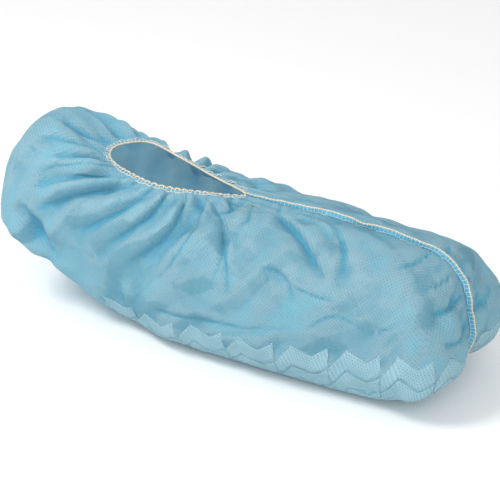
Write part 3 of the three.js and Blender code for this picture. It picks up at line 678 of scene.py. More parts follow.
uneven = 0.75 + 0.45 * waves(fine, 45.0, 21)
front_calm = between(at_seam, 3.0, 45.0)
narrow_gathers = gathers(54, 2.5, 12.0, 1.5, 31)
wide_gathers = gathers(27, 10.0, 40.0, 2.0, 32)
gathered = (0.7 * narrow_gathers + 0.9 * wide_gathers) * uneven * front_calm
print("gathers from", gathered.min().round(1), "to", gathered.max().round(1), "mm")

# %% [markdown]
# The seam puckers the cloth on both sides of it in the same way, across the seam. The thread is
# tightest over the toe, so the wide puckers are deeper there. The two sides aren't in step, so they
# get different starts.

# %% Puckers beside the seam
seam_line = fine[0]
seam_run = np.r_[0, np.cumsum(np.linalg.norm(np.diff(seam_line, axis=0), axis=1))]
beside = np.abs(fine[..., 1])
near_seam = np.broadcast_to((round_from_seam < 0.13)[:, None], beside.shape)
side = np.where(fine[..., 1] < 0, 0.0, 2.1)


def puckers(spacing, reach, seed):
    """Rounded ridges across the seam, which fade with the distance from it."""
    phase = np.pi * seam_run[None, :] / spacing + side + 0.8 * waves(fine, 35.0, seed)
    ridge = np.abs(np.sin(phase)) ** 0.8 - 0.66
    window = between(beside, 0.2, 3.0) * np.exp(-((beside / reach) ** 1.5))
    return ridge * window * near_seam


over_toe = between(seam_run, 110.0, 190.0)[None, :]
puckered = 0.4 * puckers(7.0, 8.0, 41) + puckers(17.0, 20.0, 42) * (0.3 + 0.3 * over_toe)
print("puckers from", puckered.min().round(1), "to", puckered.max().round(1), "mm")

# %% [markdown]
# Everywhere else the cloth is crumpled. Crushed nonwoven breaks into flat facets with straight
# edges, as paper does, and soft noise would look like pillows instead. A triangle wave is flat
# between its turns, so a few of them, added up in different directions, make such facets. Each
# facet also gets a tone, which says how far it faces the key lamp. The colour uses it later as
# painted light and shade: facets turned to the lamp are painted lighter and those turned away
# darker, standing in for the light that comes through the thin cloth.

# %% Crumples
FROM_LIGHT = np.array([-0.37, -0.45, 0.81])


def facets(points, size, seed, count=5):
    """Flat facets with straight creases: their height, and how far each faces the light."""
    chance = np.random.default_rng(seed)
    bend = 0.3 * waves(points, 3 * size, seed + 1)
    height = np.zeros(points.shape[:-1])
    tone = np.zeros(points.shape[:-1])
    for _ in range(count):
        direction = chance.normal(size=3)
        direction /= np.linalg.norm(direction)
        facet_size = size * chance.uniform(0.7, 1.5)
        phase = points @ direction / facet_size + chance.uniform(0, 1) + bend
        from_middle = phase % 1 - 0.5
        height += 4 * np.abs(from_middle) - 1
        tone -= np.sign(from_middle) * (direction @ FROM_LIGHT)
    return height / math.sqrt(count), tone / math.sqrt(count)


calm = np.exp(-(((round_share[:, None] - 0.09) / 0.07) ** 2) - ((down_share[None, :] - 0.40) / 0.18) ** 2)
above_sole = between(fine[..., 2], SOLE_LEVEL + 1.0, 14.0)
free_of_edges = between(rim_distance, 4.0, 30.0) * between(beside, 2.0, 16.0)
large_facets, large_facet_light = facets(fine, 62.0, 54)
small_facets, small_facet_light = facets(fine, 26.0, 55)
crumpled = 2.2 * large_facets + 0.9 * small_facets
# Painted light and shade from the facets: positive where a facet faces the key lamp, negative where it
# faces away.
facet_painted_light = 0.65 * large_facet_light + 0.95 * small_facet_light
tone = facet_painted_light * (1 - 0.4 * calm) * (0.5 + 0.5 * free_of_edges)
crumpled = crumpled * (1 - 0.65 * calm) * above_sole * free_of_edges
low_edge = np.exp(-(((fine[..., 2] - 12.0) / 12.0) ** 2))
crumpled += waves(fine, 24.0, 53) * low_edge * above_sole * between(beside, 2.0, 16.0)
print("crumples from", crumpled.min().round(1), "to", crumpled.max().round(1), "mm")

# %% Put the relief together
fine_plain = refine_grid(plain)
creased = 1.5 * fold_move(fine_plain, CREASES, sharp_valley, 0.75)
creased *= between(rim_distance, -1.0, 6.0) * above_sole
relief = gathered + puckered + crumpled + creased
cloth_points = fine + grid_normals(fine) * relief[..., None]
on_sole = fine[..., 2] <= SOLE_LEVEL + 1e-3
cloth_points[..., 2] = np.where(on_sole, SOLE_LEVEL, np.maximum(cloth_points[..., 2], SOLE_LEVEL))
cloth_points[:, -1] = fine[:, -1]
cloth_normals = grid_normals(cloth_points)
print("relief from", relief.min().round(1), "to", relief.max().round(1), "mm")

# %% [markdown]
# Painted shade: the cloth's colour is made darker and bluer where it dips, in its creases and where
# it faces down. It stands in for the shade there, and for the light that passes through more cloth
# in a valley before it comes back. The mesh carries three attributes for its finish. "valley" is how
# far each point lies under a smoothed copy of the surface, with more painted shade in the creases
# and on cloth that faces down. The second holds painted light and shade: the tone of the facets and,
# over it, how far the folds turn each place towards the key lamp or away from it. "panel" says which
# way each place mostly faces, so that the fine pattern of the cloth can be laid on it from three
# sides with no seam.

# %% Measure the valleys


def smoothed(points, passes):
    """The grid with each point moved to the middle of its neighbours, over and over."""
    result = points.copy()
    for _ in range(passes):
        result = (np.roll(result, 1, axis=0) + np.roll(result, -1, axis=0) + 2 * result) / 4
        inner = (result[:, :-2] + result[:, 2:] + 2 * result[:, 1:-1]) / 4
        result[:, 1:-1] = inner
    return result


def dip_below(passes):
    """How far each point lies under the smoothed surface, in millimetres."""
    return ((smoothed(cloth_points, passes) - cloth_points) * cloth_normals).sum(axis=2)


CREASE_SMOOTHING, SMALL_SMOOTHING, LARGE_SMOOTHING = 2, 6, 40
crease_dip = dip_below(CREASE_SMOOTHING)
small_dip = dip_below(SMALL_SMOOTHING)
large_dip = dip_below(LARGE_SMOOTHING)
dips = 1.2 * crease_dip + 0.18 * small_dip + 0.06 * large_dip
# Painted shade: the valley value, which makes the colour darker and bluer, grows in the dips, along the
# creases and where the cloth faces down.
crease_shade = np.clip(-creased / 3.0, 0, 1)
downward_shade = np.clip(-cloth_normals[..., 2], 0, 1) * (1 - on_sole)
valley = np.clip(0.26 + dips + 0.12 * crease_shade + 0.30 * downward_shade, 0, 1)
print("valley: mean", valley.mean().round(2))

# %% Measure the painted light and shade, and the panels
FOLD_PAINTED_LIGHT, MOST_PAINTED_LIGHT = 2.2, 1.8
# The folds add painted light and shade too: places they turn towards the key lamp are painted lighter,
# places turned away darker.
turned_to_light = (grid_normals(smoothed(cloth_points, 3)) - grid_normals(fine_plain)) @ FROM_LIGHT
tone = np.clip(tone + FOLD_PAINTED_LIGHT * turned_to_light, -MOST_PAINTED_LIGHT, MOST_PAINTED_LIGHT)
panel = np.abs(grid_normals(smoothed(fine, 10))) ** 4
panel /= np.maximum(panel.sum(axis=2, keepdims=True), 1e-9)
print("tone from", tone.min().round(1), "to", tone.max().round(1))

# %% Make the mesh of the cloth


def weld(points, faces, extras=(), tolerance=0.004):
    """Joins points that lie on each other and drops faces that shrink to a line."""
    keys = np.round(points / tolerance).astype(np.int64)
    _, first, same = np.unique(keys, axis=0, return_index=True, return_inverse=True)
    same = same.reshape(-1)
    kept = []
    for face in same[faces]:
        corners = [int(c) for k, c in enumerate(face) if c != face[k - 1]]
        if len(set(corners)) == len(corners) and len(corners) > 2:
            kept.append(corners)
    return points[first], kept, [extra[first] for extra in extras]


def new_piece(name, points, faces):
    """A smooth-shaded mesh object at the origin. Points are in millimetres."""
    mesh = bpy.data.meshes.new(name)
    mesh.from_pydata((points * MM).tolist(), [], faces if isinstance(faces, list) else faces.tolist())
    mesh.polygons.foreach_set("use_smooth", [True] * len(mesh.polygons))
    piece = bpy.data.objects.new(name, mesh)
    scene.collection.objects.link(piece)
    return piece


def add_numbers(piece, name, values):
    """Stores a number or a vector for each point of a mesh, for its material or its modifiers."""
    single = values.ndim == 1
    attribute = piece.data.attributes.new(name, "FLOAT" if single else "FLOAT_VECTOR", "POINT")
    attribute.data.foreach_set("value" if single else "vector", values.astype(np.float32).reshape(-1))


CLOTH_THICK = 0.5
points, faces, (valley_kept, painted_light_kept, panel_kept) = weld(
    cloth_points.reshape(-1, 3), grid_faces(COLUMNS, RINGS),
    (valley.reshape(-1), tone.reshape(-1), panel.reshape(-1, 3)),
)
cover_cloth = new_piece("cover_cloth", points, faces)
add_numbers(cover_cloth, "valley", valley_kept)
add_numbers(cover_cloth, "tone", painted_light_kept)
add_numbers(cover_cloth, "panel", panel_kept)
thickness = cover_cloth.modifiers.new("thickness", "SOLIDIFY")
thickness.thickness = CLOTH_THICK * MM
thickness.offset = -1.0
print("cover_cloth:", len(points), "points,", len(faces), "faces")

# %% [markdown]
# Sweeping. Threads, bindings and the seam allowance are all a small section carried along a line,
# so one helper makes them. It also writes a UV map, along in metres and round as a share, for the
# twist of the thread.

# %% Sweep a section along a line


def sweep(name, centres, firsts, seconds, section_points, closed):
    """A tube: each station is a centre and two directions that the section's two numbers go along."""
    count, sides = len(centres), len(section_points)
    a = section_points[:, 0][None, :, None]
    b = section_points[:, 1][None, :, None]
    points = centres[:, None] + firsts[:, None] * a + seconds[:, None] * b
    run = np.r_[0, np.cumsum(np.linalg.norm(np.diff(centres, axis=0), axis=1))]
    faces = []
    for i in range(count if closed else count - 1):
        n = (i + 1) % count
        for j in range(sides):
            k = (j + 1) % sides
            faces.append([i * sides + j, i * sides + k, n * sides + k, n * sides + j])
    if not closed:
        faces.append([j for j in reversed(range(sides))])
        faces.append([(count - 1) * sides + j for j in range(sides)])
    piece = new_piece(name, points.reshape(-1, 3), faces)
    layer = piece.data.uv_layers.new(name="along")
    for face in piece.data.polygons:
        for loop in face.loop_indices:
            i, j = divmod(piece.data.loops[loop].vertex_index, sides)
            layer.data[loop].uv = (run[i] * MM, j / sides)
    return piece


def ring_section(radius, sides):
    angle = np.arange(sides) * 2 * np.pi / sides
    return np.c_[radius * np.cos(angle), radius * np.sin(angle)]


def unit(vectors):
    return vectors / np.maximum(np.linalg.norm(vectors, axis=-1, keepdims=True), 1e-9)


# %% [markdown]
# The bound edge of the opening: elastic thread caught under the overlock, a cream cord a little
# over 1 mm thick that follows every gather of the cloth's edge. The stitches pull it into small
# scallops, which are larger on the near side.

# %% Binding of the rim
rim_line = cloth_points[:, 0]
rim_line = (np.roll(rim_line, 1, axis=0) + np.roll(rim_line, -1, axis=0) + 2 * rim_line) / 4
rim_ahead = unit(np.roll(rim_line, -1, axis=0) - np.roll(rim_line, 1, axis=0))
rim_away = unit(cloth_points[:, 3] - cloth_points[:, 0])
rim_facing = unit(np.cross(rim_ahead, rim_away))
rim_away = unit(np.cross(rim_facing, rim_ahead))
RIM_THREAD = 0.62
near_rim = between(-rim_line[:, 1], -4.0, 6.0)
scallop = np.abs(np.sin(np.pi * rim_run / 4.8 + 0.8 * rim_wander[:, 0])) - 0.5
scallop_size = (scallop * (0.3 + 0.7 * near_rim))[:, None]
bound_line = rim_line - rim_facing * 0.3 + (rim_facing * 0.5 - rim_away) * scallop_size
rim_binding = sweep("rim_binding", bound_line, rim_facing, rim_away, ring_section(RIM_THREAD, 10), True)
print("rim:", RIM_LENGTH.round(0), "mm")

# %% [markdown]
# The seam allowance stands up along the instep: two edges of cloth sewn together, trimmed to a
# little under 4 mm and overlocked, a little wavy because the thread pulls on it. Its foot sits in
# the valley between the two halves.

# %% Seam allowance and its bound edge
FIN_TALL = 3.7
FIN_END = 14.0
seam_points = cloth_points[0]
last_ring = int(np.argmax((seam_points[:, 2] < FIN_END) & (np.arange(RINGS) > RINGS // 3)))
seam_path = seam_points[:last_ring]
path_run = np.r_[0, np.cumsum(np.linalg.norm(np.diff(seam_path, axis=0), axis=1))]
fin_run = np.arange(0, path_run[-1], 0.9)
fin_foot = np.stack([np.interp(fin_run, path_run, seam_path[:, k]) for k in range(3)], axis=1)
fin_foot[:, 1] = 0
for _ in range(6):
    fin_foot[1:-1] = (fin_foot[:-2] + fin_foot[2:] + 2 * fin_foot[1:-1]) / 4
fin_ahead = unit(np.gradient(fin_foot, axis=0))
fin_up = np.c_[-fin_ahead[:, 2], np.zeros(len(fin_ahead)), fin_ahead[:, 0]]
along_fin = np.c_[fin_run, np.zeros(len(fin_run))]
lean = 0.20 * waves(along_fin, 46.0, 61) + 0.16 * waves(along_fin, 15.0, 62)
fin_side = np.array([0.0, 1.0, 0.0])
fin_rise = unit(fin_up * np.cos(lean)[:, None] + fin_side * np.sin(lean)[:, None])
fin_across = unit(np.cross(fin_rise, fin_ahead))
fin_growth = 0.35 + 0.65 * between(fin_run, 5.0, 65.0)
fin_tall = FIN_TALL * (1 + 0.10 * waves(along_fin, 12.0, 63)) * fin_growth
# across in millimetres, up as a share of the height
fin_section = np.array([
    (-0.42, -0.5), (0.42, -0.5), (0.36, 0.35), (0.42, 0.7),
    (0.3, 1.0), (-0.3, 1.0), (-0.42, 0.7), (-0.36, 0.35),
])
fin_height = fin_rise * fin_tall[:, None]
seam_allowance = sweep("seam_allowance", fin_foot, fin_across, fin_height, fin_section, False)
fin_top = fin_foot + fin_height
FIN_THREAD = 0.42
seam_binding = sweep("seam_binding", fin_top, fin_across, fin_rise, ring_section(FIN_THREAD, 8), False)
print("seam:", fin_run[-1].round(0), "mm, fin", fin_tall.max().round(1), "mm tall")

# %% [markdown]
# Overlock stitches repeat by the hundred, which is work for Geometry Nodes. One stitch, a rung over
# the edge and a bar along the row of needle holes, is set at every step along the line, so that
# together they make a ladder. The line carries two directions: away, from the edge into the cloth,
# and facing, out of the cloth.

# %% The tree that sews


class Tree:
    """Adds nodes to a tree: settings first, then the values or links of the sockets."""

    def __init__(self, tree):
        self.tree = tree

    def add(self, kind, settings=None, sockets=None, out=0):
        node = self.tree.nodes.new(kind)
        for name, value in (settings or {}).items():
            setattr(node, name, value)
        for name, value in (sockets or {}).items():
            socket = node.inputs[name]
            if isinstance(value, bpy.types.NodeSocket):
                self.tree.links.new(value, socket)
            else:
                socket.default_value = value
        return node.outputs[out]


def sewing_tree():
    tree = bpy.data.node_groups.new("sew_overlock", "GeometryNodeTree")
    face = tree.interface
    face.new_socket("Geometry", in_out="INPUT", socket_type="NodeSocketGeometry")
    for name, kind in (("Stitch", "NodeSocketObject"), ("Spacing", "NodeSocketFloat"),
                       ("Thread radius", "NodeSocketFloat"), ("Thread", "NodeSocketMaterial")):
        face.new_socket(name, in_out="INPUT", socket_type=kind)
    face.new_socket("Geometry", in_out="OUTPUT", socket_type="NodeSocketGeometry")
    t = Tree(tree)
    given = tree.nodes.new("NodeGroupInput").outputs
    line = t.add("GeometryNodeMeshToCurve", None, {"Mesh": given["Geometry"]})
    stations = t.add(
        "GeometryNodeResampleCurve", {"mode": "LENGTH"},
        {"Curve": line, "Length": given["Spacing"]},
    )
    away = t.add("GeometryNodeInputNamedAttribute", {"data_type": "FLOAT_VECTOR"}, {"Name": "away"})
    facing_out = t.add("GeometryNodeInputNamedAttribute", {"data_type": "FLOAT_VECTOR"}, {"Name": "facing"})
    turned = t.add(
        "FunctionNodeAxesToRotation",
        {"primary_axis": "Z", "secondary_axis": "Y"},
        {"Primary Axis": facing_out, "Secondary Axis": away},
    )
    shape = t.add("GeometryNodeObjectInfo", None, {"Object": given["Stitch"]}, "Geometry")
    thread_line = t.add("GeometryNodeMeshToCurve", None, {"Mesh": shape})
    circle = t.add(
        "GeometryNodeCurvePrimitiveCircle", None,
        {"Resolution": 6, "Radius": given["Thread radius"]},
    )
    loop = t.add(
        "GeometryNodeCurveToMesh", None,
        {"Curve": thread_line, "Profile Curve": circle, "Fill Caps": True},
    )
    uneven_size = t.add(
        "FunctionNodeRandomValue", {"data_type": "FLOAT_VECTOR"},
        {"Min": (0.85, 0.8, 0.85), "Max": (1.1, 1.15, 1.15), "Seed": 7},
    )
    sewn = t.add(
        "GeometryNodeInstanceOnPoints", None,
        {"Points": stations, "Instance": loop, "Rotation": turned, "Scale": uneven_size},
    )
    real = t.add("GeometryNodeRealizeInstances", None, {"Geometry": sewn})
    finished = t.add("GeometryNodeSetMaterial", None, {"Geometry": real, "Material": given["Thread"]})
    tree.links.new(finished, tree.nodes.new("NodeGroupOutput").inputs["Geometry"])
    return tree


SEWING = sewing_tree()
print("the sewing tree has", len(SEWING.nodes), "nodes")

# %% One stitch, and the thread sewn along a line


def stitch_shape(name, spacing, bite, edge):
    """One rung over the edge and one bar to the next rung, in millimetres."""
    h = spacing / 2
    # along the line, into the cloth, out of the cloth
    points = [
        (-h, -0.4, -edge),
        (-h, -edge, -0.2),
        (-h, -edge * 0.6, edge * 0.8),
        (-h * 0.9, edge * 0.8, edge * 0.75),
        (-h * 0.7, bite * 0.85, 0.34),
        (-h * 0.55, bite, 0.25),
        (h * 0.3, bite * 1.03, 0.28),
        (h * 1.3, bite * 0.95, 0.28),
    ]
    steps = [(k, k + 1) for k in range(len(points) - 1)]
    mesh = bpy.data.meshes.new(name)
    mesh.from_pydata((np.array(points) * MM).tolist(), steps, [])
    shape = bpy.data.objects.new(name, mesh)
    scene.collection.objects.link(shape)
    return shape


def sew(name, lines, spacing, bite, edge, radius, material):
    """Sews a thread along lines of (points, away, facing, closed) and returns it as a plain mesh."""
    points, edges, away, facing_out = [], [], [], []
    for line, line_away, line_facing, closed in lines:
        first = len(points)
        points += list(line * MM)
        away += list(line_away)
        facing_out += list(line_facing)
        edges += [(first + k, first + k + 1) for k in range(len(line) - 1)]
        if closed:
            edges.append((first + len(line) - 1, first))
    mesh = bpy.data.meshes.new(name)
    mesh.from_pydata([tuple(p) for p in points], edges, [])
    piece = bpy.data.objects.new(name, mesh)
    scene.collection.objects.link(piece)
    add_numbers(piece, "away", np.array(away))
    add_numbers(piece, "facing", np.array(facing_out))
    shape = stitch_shape(name + "_shape", spacing, bite, edge)
    sewing = piece.modifiers.new("sewing", "NODES")
    sewing.node_group = SEWING
    given = {"Stitch": shape, "Spacing": spacing * MM, "Thread radius": radius * MM, "Thread": material}
    for item in SEWING.interface.items_tree:
        if item.in_out == "INPUT" and item.name in given:
            sewing[item.identifier] = given[item.name]
    made = bpy.data.meshes.new_from_object(piece.evaluated_get(bpy.context.evaluated_depsgraph_get()))
    piece.modifiers.clear()
    piece.data = made
    made.polygons.foreach_set("use_smooth", [True] * len(made.polygons))
    bpy.data.objects.remove(shape)
    print(name, "has", len(made.polygons), "faces")
    return piece


# %% [markdown]
# Shader maths. A small class stands for one value in a material, so that finishes can be written as
# plain expressions. It also holds the few nodes that every finish here uses: noise, bump and
# attributes.

# %% Values in a material


class Value:
    """One output socket, with arithmetic that adds Math nodes."""

    def __init__(self, tree, socket):
        self.tree = tree
        self.socket = socket

    def node(self, kind, settings=None, sockets=None, out=0):
        """Any other node: settings first, ramp stops among them, then the sockets' values or links."""
        node = self.tree.nodes.new(kind)
        for name, value in (settings or {}).items():
            if name == "stops":
                ramp = node.color_ramp.elements
                while len(ramp) < len(value):
                    ramp.new(0.5)
                for element, (place, colour) in zip(ramp, value):
                    element.position = place
                    element.color = colour
            else:
                setattr(node, name, value)
        for name, value in (sockets or {}).items():
            socket = node.inputs[name]
            if isinstance(value, Value):
                self.tree.links.new(value.socket, socket)
            else:
                socket.default_value = value
        return Value(self.tree, node.outputs[out]) if node.outputs else None

    def maths(self, operation, first, second=None):
        sockets = {0: first}
        if second is not None:
            sockets[1] = second
        return self.node("ShaderNodeMath", {"operation": operation}, sockets)

    def __add__(self, other):
        return self.maths("ADD", self, other)

    __radd__ = __add__

    def __mul__(self, other):
        return self.maths("MULTIPLY", self, other)

    __rmul__ = __mul__

    def __sub__(self, other):
        return self.maths("SUBTRACT", self, other)

    def __rsub__(self, other):
        return self.maths("SUBTRACT", other, self)

    def step(self, low, high):
        """0 below low and 1 above high, with a smooth rise."""
        sockets = {"Value": self, "From Min": low, "From Max": high}
        return self.node("ShaderNodeMapRange", {"interpolation_type": "SMOOTHSTEP"}, sockets)

    def sine(self):
        return self.maths("SINE", self)

    def size(self):
        return self.maths("ABSOLUTE", self)

    def blend(self, first, second):
        """A colour between two others, by this value."""
        return self.mixed(self, first, second)

    def mixed(self, share, first, second):
        """A colour between two others, by a share."""
        return self.node("ShaderNodeMix", {"data_type": "RGBA"}, {0: share, 6: first, 7: second}, 2)

    def parts(self, count=3):
        """The first numbers of this vector."""
        return [self.node("ShaderNodeSeparateXYZ", None, {"Vector": self}, k) for k in range(count)]

    def noise(self, place, scale, detail, roughness=0.5):
        sockets = {"Vector": place, "Scale": scale, "Detail": detail, "Roughness": roughness}
        return self.node("ShaderNodeTexNoise", None, sockets)

    def bump(self, strength, millimetres, height):
        sockets = {"Strength": strength, "Distance": millimetres * MM, "Height": height}
        return self.node("ShaderNodeBump", None, sockets, "Normal")

    def attribute(self, name, kind="Fac"):
        """What the mesh stores at each point under this name."""
        return self.node("ShaderNodeAttribute", {"attribute_name": name}, None, kind)


def new_material(name):
    """A material with an empty tree, and a value to start expressions from."""
    material = bpy.data.materials.new(name)
    material.use_nodes = True
    material.node_tree.nodes.clear()
    return material, Value(material.node_tree, None)


def object_place(start):
    """The place on the piece, in metres."""
    return start.node("ShaderNodeTexCoord", None, None, "Object")


def finish_with(material, start, surface):
    start.node("ShaderNodeOutputMaterial", None, {"Surface": surface})
    return material


# %% [markdown]
# The cloth: spunbond polypropylene, pale blue, a little glossy, with a fine lattice of welded
# points and a cloudy spread of fibres. The product of two sine waves is high where both peak or
# both dip, so its points lie on the diagonal, about 1.7 mm from each other. That is as close as
# they can be and still show at the size of the picture. Some light comes through the cloth from
# behind, which lifts the ridges and fills the shadows with colour.

# %% Finish of the cloth
LATTICE = 2.4 * MM
# The ridge, middle and valley colours make a ramp of painted shade, darker and bluer into the valleys; the
# ridge colour also lightens the fine grain. The bright and teal colours are painted light and painted
# shade. The weld colour is the welded points' own. The glow colours the light that passes through the
# cloth, and also lightens the inside as painted light.
CLOTH_RIDGE = (0.420, 0.640, 0.710, 1.0)
CLOTH_MIDDLE = (0.260, 0.560, 0.680, 1.0)
CLOTH_VALLEY_SHADE = (0.080, 0.480, 0.710, 1.0)
CLOTH_PAINTED_LIGHT = (0.300, 0.690, 0.820, 1.0)
CLOTH_WELD = (0.120, 0.400, 0.540, 1.0)
CLOTH_PAINTED_SHADE = (0.130, 0.400, 0.520, 1.0)
CLOTH_GLOW = (0.760, 0.900, 0.950, 1.0)


def welded_points(a, b):
    """Small welded points on the diagonals of two coordinates."""
    k = 2 * math.pi / LATTICE
    return (a * k).sine() * (b * k).sine()


def cloth_finish(name, through, painted_inside_light=0.0):
    """Cloth that lets a share of the light through. The last argument moves the colour towards the glow, as
    painted light on the inside.
    """
    material, start = new_material(name)
    place = object_place(start)
    x, y, z = place.parts()
    faces_x, faces_y, faces_z = start.attribute("panel", "Vector").parts()
    lattice = welded_points(y, z) * faces_x + welded_points(x, z) * faces_y
    lattice = lattice + welded_points(x, y) * faces_z
    weld_point = lattice.step(0.10, 0.6)
    cloudy = start.noise(place, 130.0, 4.0, 0.6)
    fibres = start.noise(place, 1400.0, 3.0, 0.7)
    painted_sheen_patches = start.noise(place, 26.0, 3.0, 0.55)
    grain = start.noise(place, 520.0, 2.0, 0.6)
    # Painted shade: with the valley attribute the colour moves from the ridge colour to a darker, bluer
    # valley colour; cloudy noise varies it at random.
    depth = start.attribute("valley") + (cloudy - 0.5) * 0.25
    colour = depth.node(
        "ShaderNodeValToRGB",
        {"stops": [(0.10, CLOTH_RIDGE), (0.50, CLOTH_MIDDLE), (1.0, CLOTH_VALLEY_SHADE)]},
        {"Fac": depth},
    )
    # Painted light and shade: where facets and folds turn to the key lamp the colour moves to a lighter
    # one, where they turn away to a darker teal. The noise patches add painted sheen.
    place_painted_light = start.attribute("tone") + (cloudy - 0.5) * 0.3
    painted_lit_share = painted_sheen_patches.step(0.50, 0.70) * 0.35 + place_painted_light.step(0.0, 1.3) * 0.55
    colour = painted_lit_share.blend(colour, CLOTH_PAINTED_LIGHT)
    colour = ((place_painted_light * -1).step(0.0, 1.3) * 0.62).blend(colour, CLOTH_PAINTED_SHADE)
    colour = (grain.step(0.45, 0.75) * 0.35).blend(colour, CLOTH_RIDGE)
    colour = (weld_point * 0.5 + (1 - grain).step(0.5, 0.8) * 0.3).blend(colour, CLOTH_WELD)
    height = (fibres - 0.5) * 0.5 + cloudy * 0.8 - weld_point * 1.2
    bump = start.bump(0.6, 0.2, height)
    rough = 0.62 - weld_point * 0.16
    skin = start.node(
        "ShaderNodeBsdfPrincipled", None,
        {"Base Color": colour, "Roughness": rough, "Normal": bump, "Specular IOR Level": 0.35},
    )
    # Painted light: the inside's colour is moved towards the glow colour, lighter than its shade would be.
    if painted_inside_light:
        colour = start.mixed(painted_inside_light, colour, CLOTH_GLOW)
    passing = start.mixed(0.55, colour, CLOTH_GLOW)
    glow = start.node("ShaderNodeBsdfTranslucent", None, {"Color": passing, "Normal": bump})
    mixed = start.node("ShaderNodeMixShader", None, {0: through, 1: skin, 2: glow})
    return finish_with(material, start, mixed)


CLOTH = cloth_finish("nonwoven_cloth", 0.50)
# The inside lets more light through and is also painted lighter.
CLOTH_INSIDE_PAINTED_LIGHTER = cloth_finish("nonwoven_cloth_inside_painted_lighter", 0.88, 0.35)
cover_cloth.data.materials.append(CLOTH)
cover_cloth.data.materials.append(CLOTH_INSIDE_PAINTED_LIGHTER)
thickness.material_offset = 1
thickness.material_offset_rim = 0
print("cloth finishes:", [material.name for material in cover_cloth.data.materials])

# %% [markdown]
# The threads. The binding is soft cream elastic wrapped in fluffy polyester, and shows its twist as
# a slanting stripe along the cord. The stitches are thinner, whiter and plainly fuzzy. The seam
# allowance is cloth as well, but lets less light through, because it is folded double.

# %% Finish of the threads


def thread_finish(name, light, dark, twist):
    """Thread in a light and a dark colour, with a stripe at every twist, in millimetres, if it has one."""
    material, start = new_material(name)
    fuzz = start.noise(object_place(start), 900.0, 3.0, 0.7)
    if twist:
        u, v = start.node("ShaderNodeUVMap", {"uv_map": "along"}, None).parts(2)
        stripe = ((u * (2 * math.pi / (twist * MM))) + v * (2 * math.pi)).sine() * 0.5 + 0.5
    else:
        stripe = fuzz
    shade = (stripe * 0.55 + fuzz * 0.6).step(0.2, 0.95)
    colour = shade.blend(dark, light)
    bump = start.bump(0.6, 0.15, stripe + fuzz * 0.6)
    skin = start.node(
        "ShaderNodeBsdfPrincipled", None,
        {"Base Color": colour, "Roughness": 0.85 - fuzz * 0.1, "Normal": bump, "Specular IOR Level": 0.2},
    )
    return finish_with(material, start, skin)


BINDING = thread_finish("cream_binding", (0.84, 0.74, 0.58, 1.0), (0.60, 0.46, 0.30, 1.0), 1.6)
STITCHING = thread_finish("white_stitching", (0.93, 0.92, 0.87, 1.0), (0.76, 0.73, 0.66, 1.0), None)
rim_binding.data.materials.append(BINDING)
seam_binding.data.materials.append(BINDING)
SEAM_CLOTH = cloth_finish("seam_cloth", 0.2)
seam_allowance.data.materials.append(SEAM_CLOTH)
fin_count = len(seam_allowance.data.vertices)
# Painted shade: the seam allowance is painted darker and bluer towards its foot and lighter at its top.
fin_painted_shade = np.tile([1.0, 1.0, 1.0, 0.9, 0.7, 0.7, 0.9, 1.0], fin_count // 8)
add_numbers(seam_allowance, "valley", fin_painted_shade)
add_numbers(seam_allowance, "panel", np.tile([0.0, 1.0, 0.0], (fin_count, 1)))
print("thread finishes:", BINDING.name, STITCHING.name)

# %% [markdown]
# Now the thread can be sewn: one row round the rim, and one down each face of the seam allowance.
# Its first few millimetres stay bare, because there the allowance is too low to hold a stitch.

# %% Sew the rim and the seam
RIM_STITCH, SEAM_STITCH = 2.6, 2.7
STITCH_BITE = 3.0
FACE_OFF = 0.25
FIRST_SEWN = 6
rim_overlock = sew(
    "rim_overlock",
    [(rim_line, rim_away, rim_facing, True)],
    RIM_STITCH, STITCH_BITE, RIM_THREAD + 0.12, 0.19, STITCHING,
)
near_face = fin_top - fin_across * FACE_OFF
far_face = fin_top + fin_across * FACE_OFF
sewn_rise = fin_rise[FIRST_SEWN:]
sewn_across = fin_across[FIRST_SEWN:]
seam_rows = [
    (near_face[FIRST_SEWN:], -sewn_rise, -sewn_across, False),
    (far_face[FIRST_SEWN:], -sewn_rise, sewn_across, False),
]
seam_overlock = sew(
    "seam_overlock", seam_rows, SEAM_STITCH, STITCH_BITE, FIN_THREAD + 0.08, 0.13, STITCHING,
)

# %% [markdown]
# The grip: a rubbery print of fine crossing lines, in zigzag bands with bare cloth between them.
# Its upper edge is a sawtooth of paired teeth that climbs the sides. The print has its own mesh,
# laid on the finished cloth. Its rows run parallel to the sawtooth edge, so whole bands can be left
# out to make the bare gaps.

# %% Sawtooth edge of the grip
GRIP_EDGE = np.array([
    (0, 0.08), (0.015, 0.3), (0.03, 0.36), (0.08, 0.4), (0.13, 0.34),
    (0.18, 0.29), (0.25, 0.25), (0.31, 0.21), (0.36, 0.2),
])
TOOTH_DEPTH = 0.11
PAIR_SHARE = 0.0428
GRIP_PAIRS = 8
COLUMNS_PER_PAIR = 32
# place in a pair of teeth, depth: a slope down to a narrow cut with one steep side, then a shallow dip
TOOTH_PAIR = np.array([(0, 0.0), (10 / 32, 1.0), (11 / 32, 0.0), (20 / 32, 0.5), (1, 0.0)])
BAND_PITCH, BAND_WIDE, ROWS_PER_PITCH = 15.5, 14.2, 7


def on_cloth(rounds, downs):
    """Points and normals of the finished cloth at any round and down."""
    i = (rounds % 1) * COLUMNS
    low = np.floor(i).astype(int) % COLUMNS
    high = (low + 1) % COLUMNS
    a = (i - np.floor(i))[:, None]
    j = np.interp(downs, down_share, np.arange(RINGS))
    up = np.minimum(np.floor(j).astype(int), RINGS - 2)
    b = (j - up)[:, None]

    def sample(grid):
        first = grid[low, up] * (1 - b) + grid[low, up + 1] * b
        second = grid[high, up] * (1 - b) + grid[high, up + 1] * b
        return first * (1 - a) + second * a

    return sample(cloth_points), unit(sample(cloth_normals))


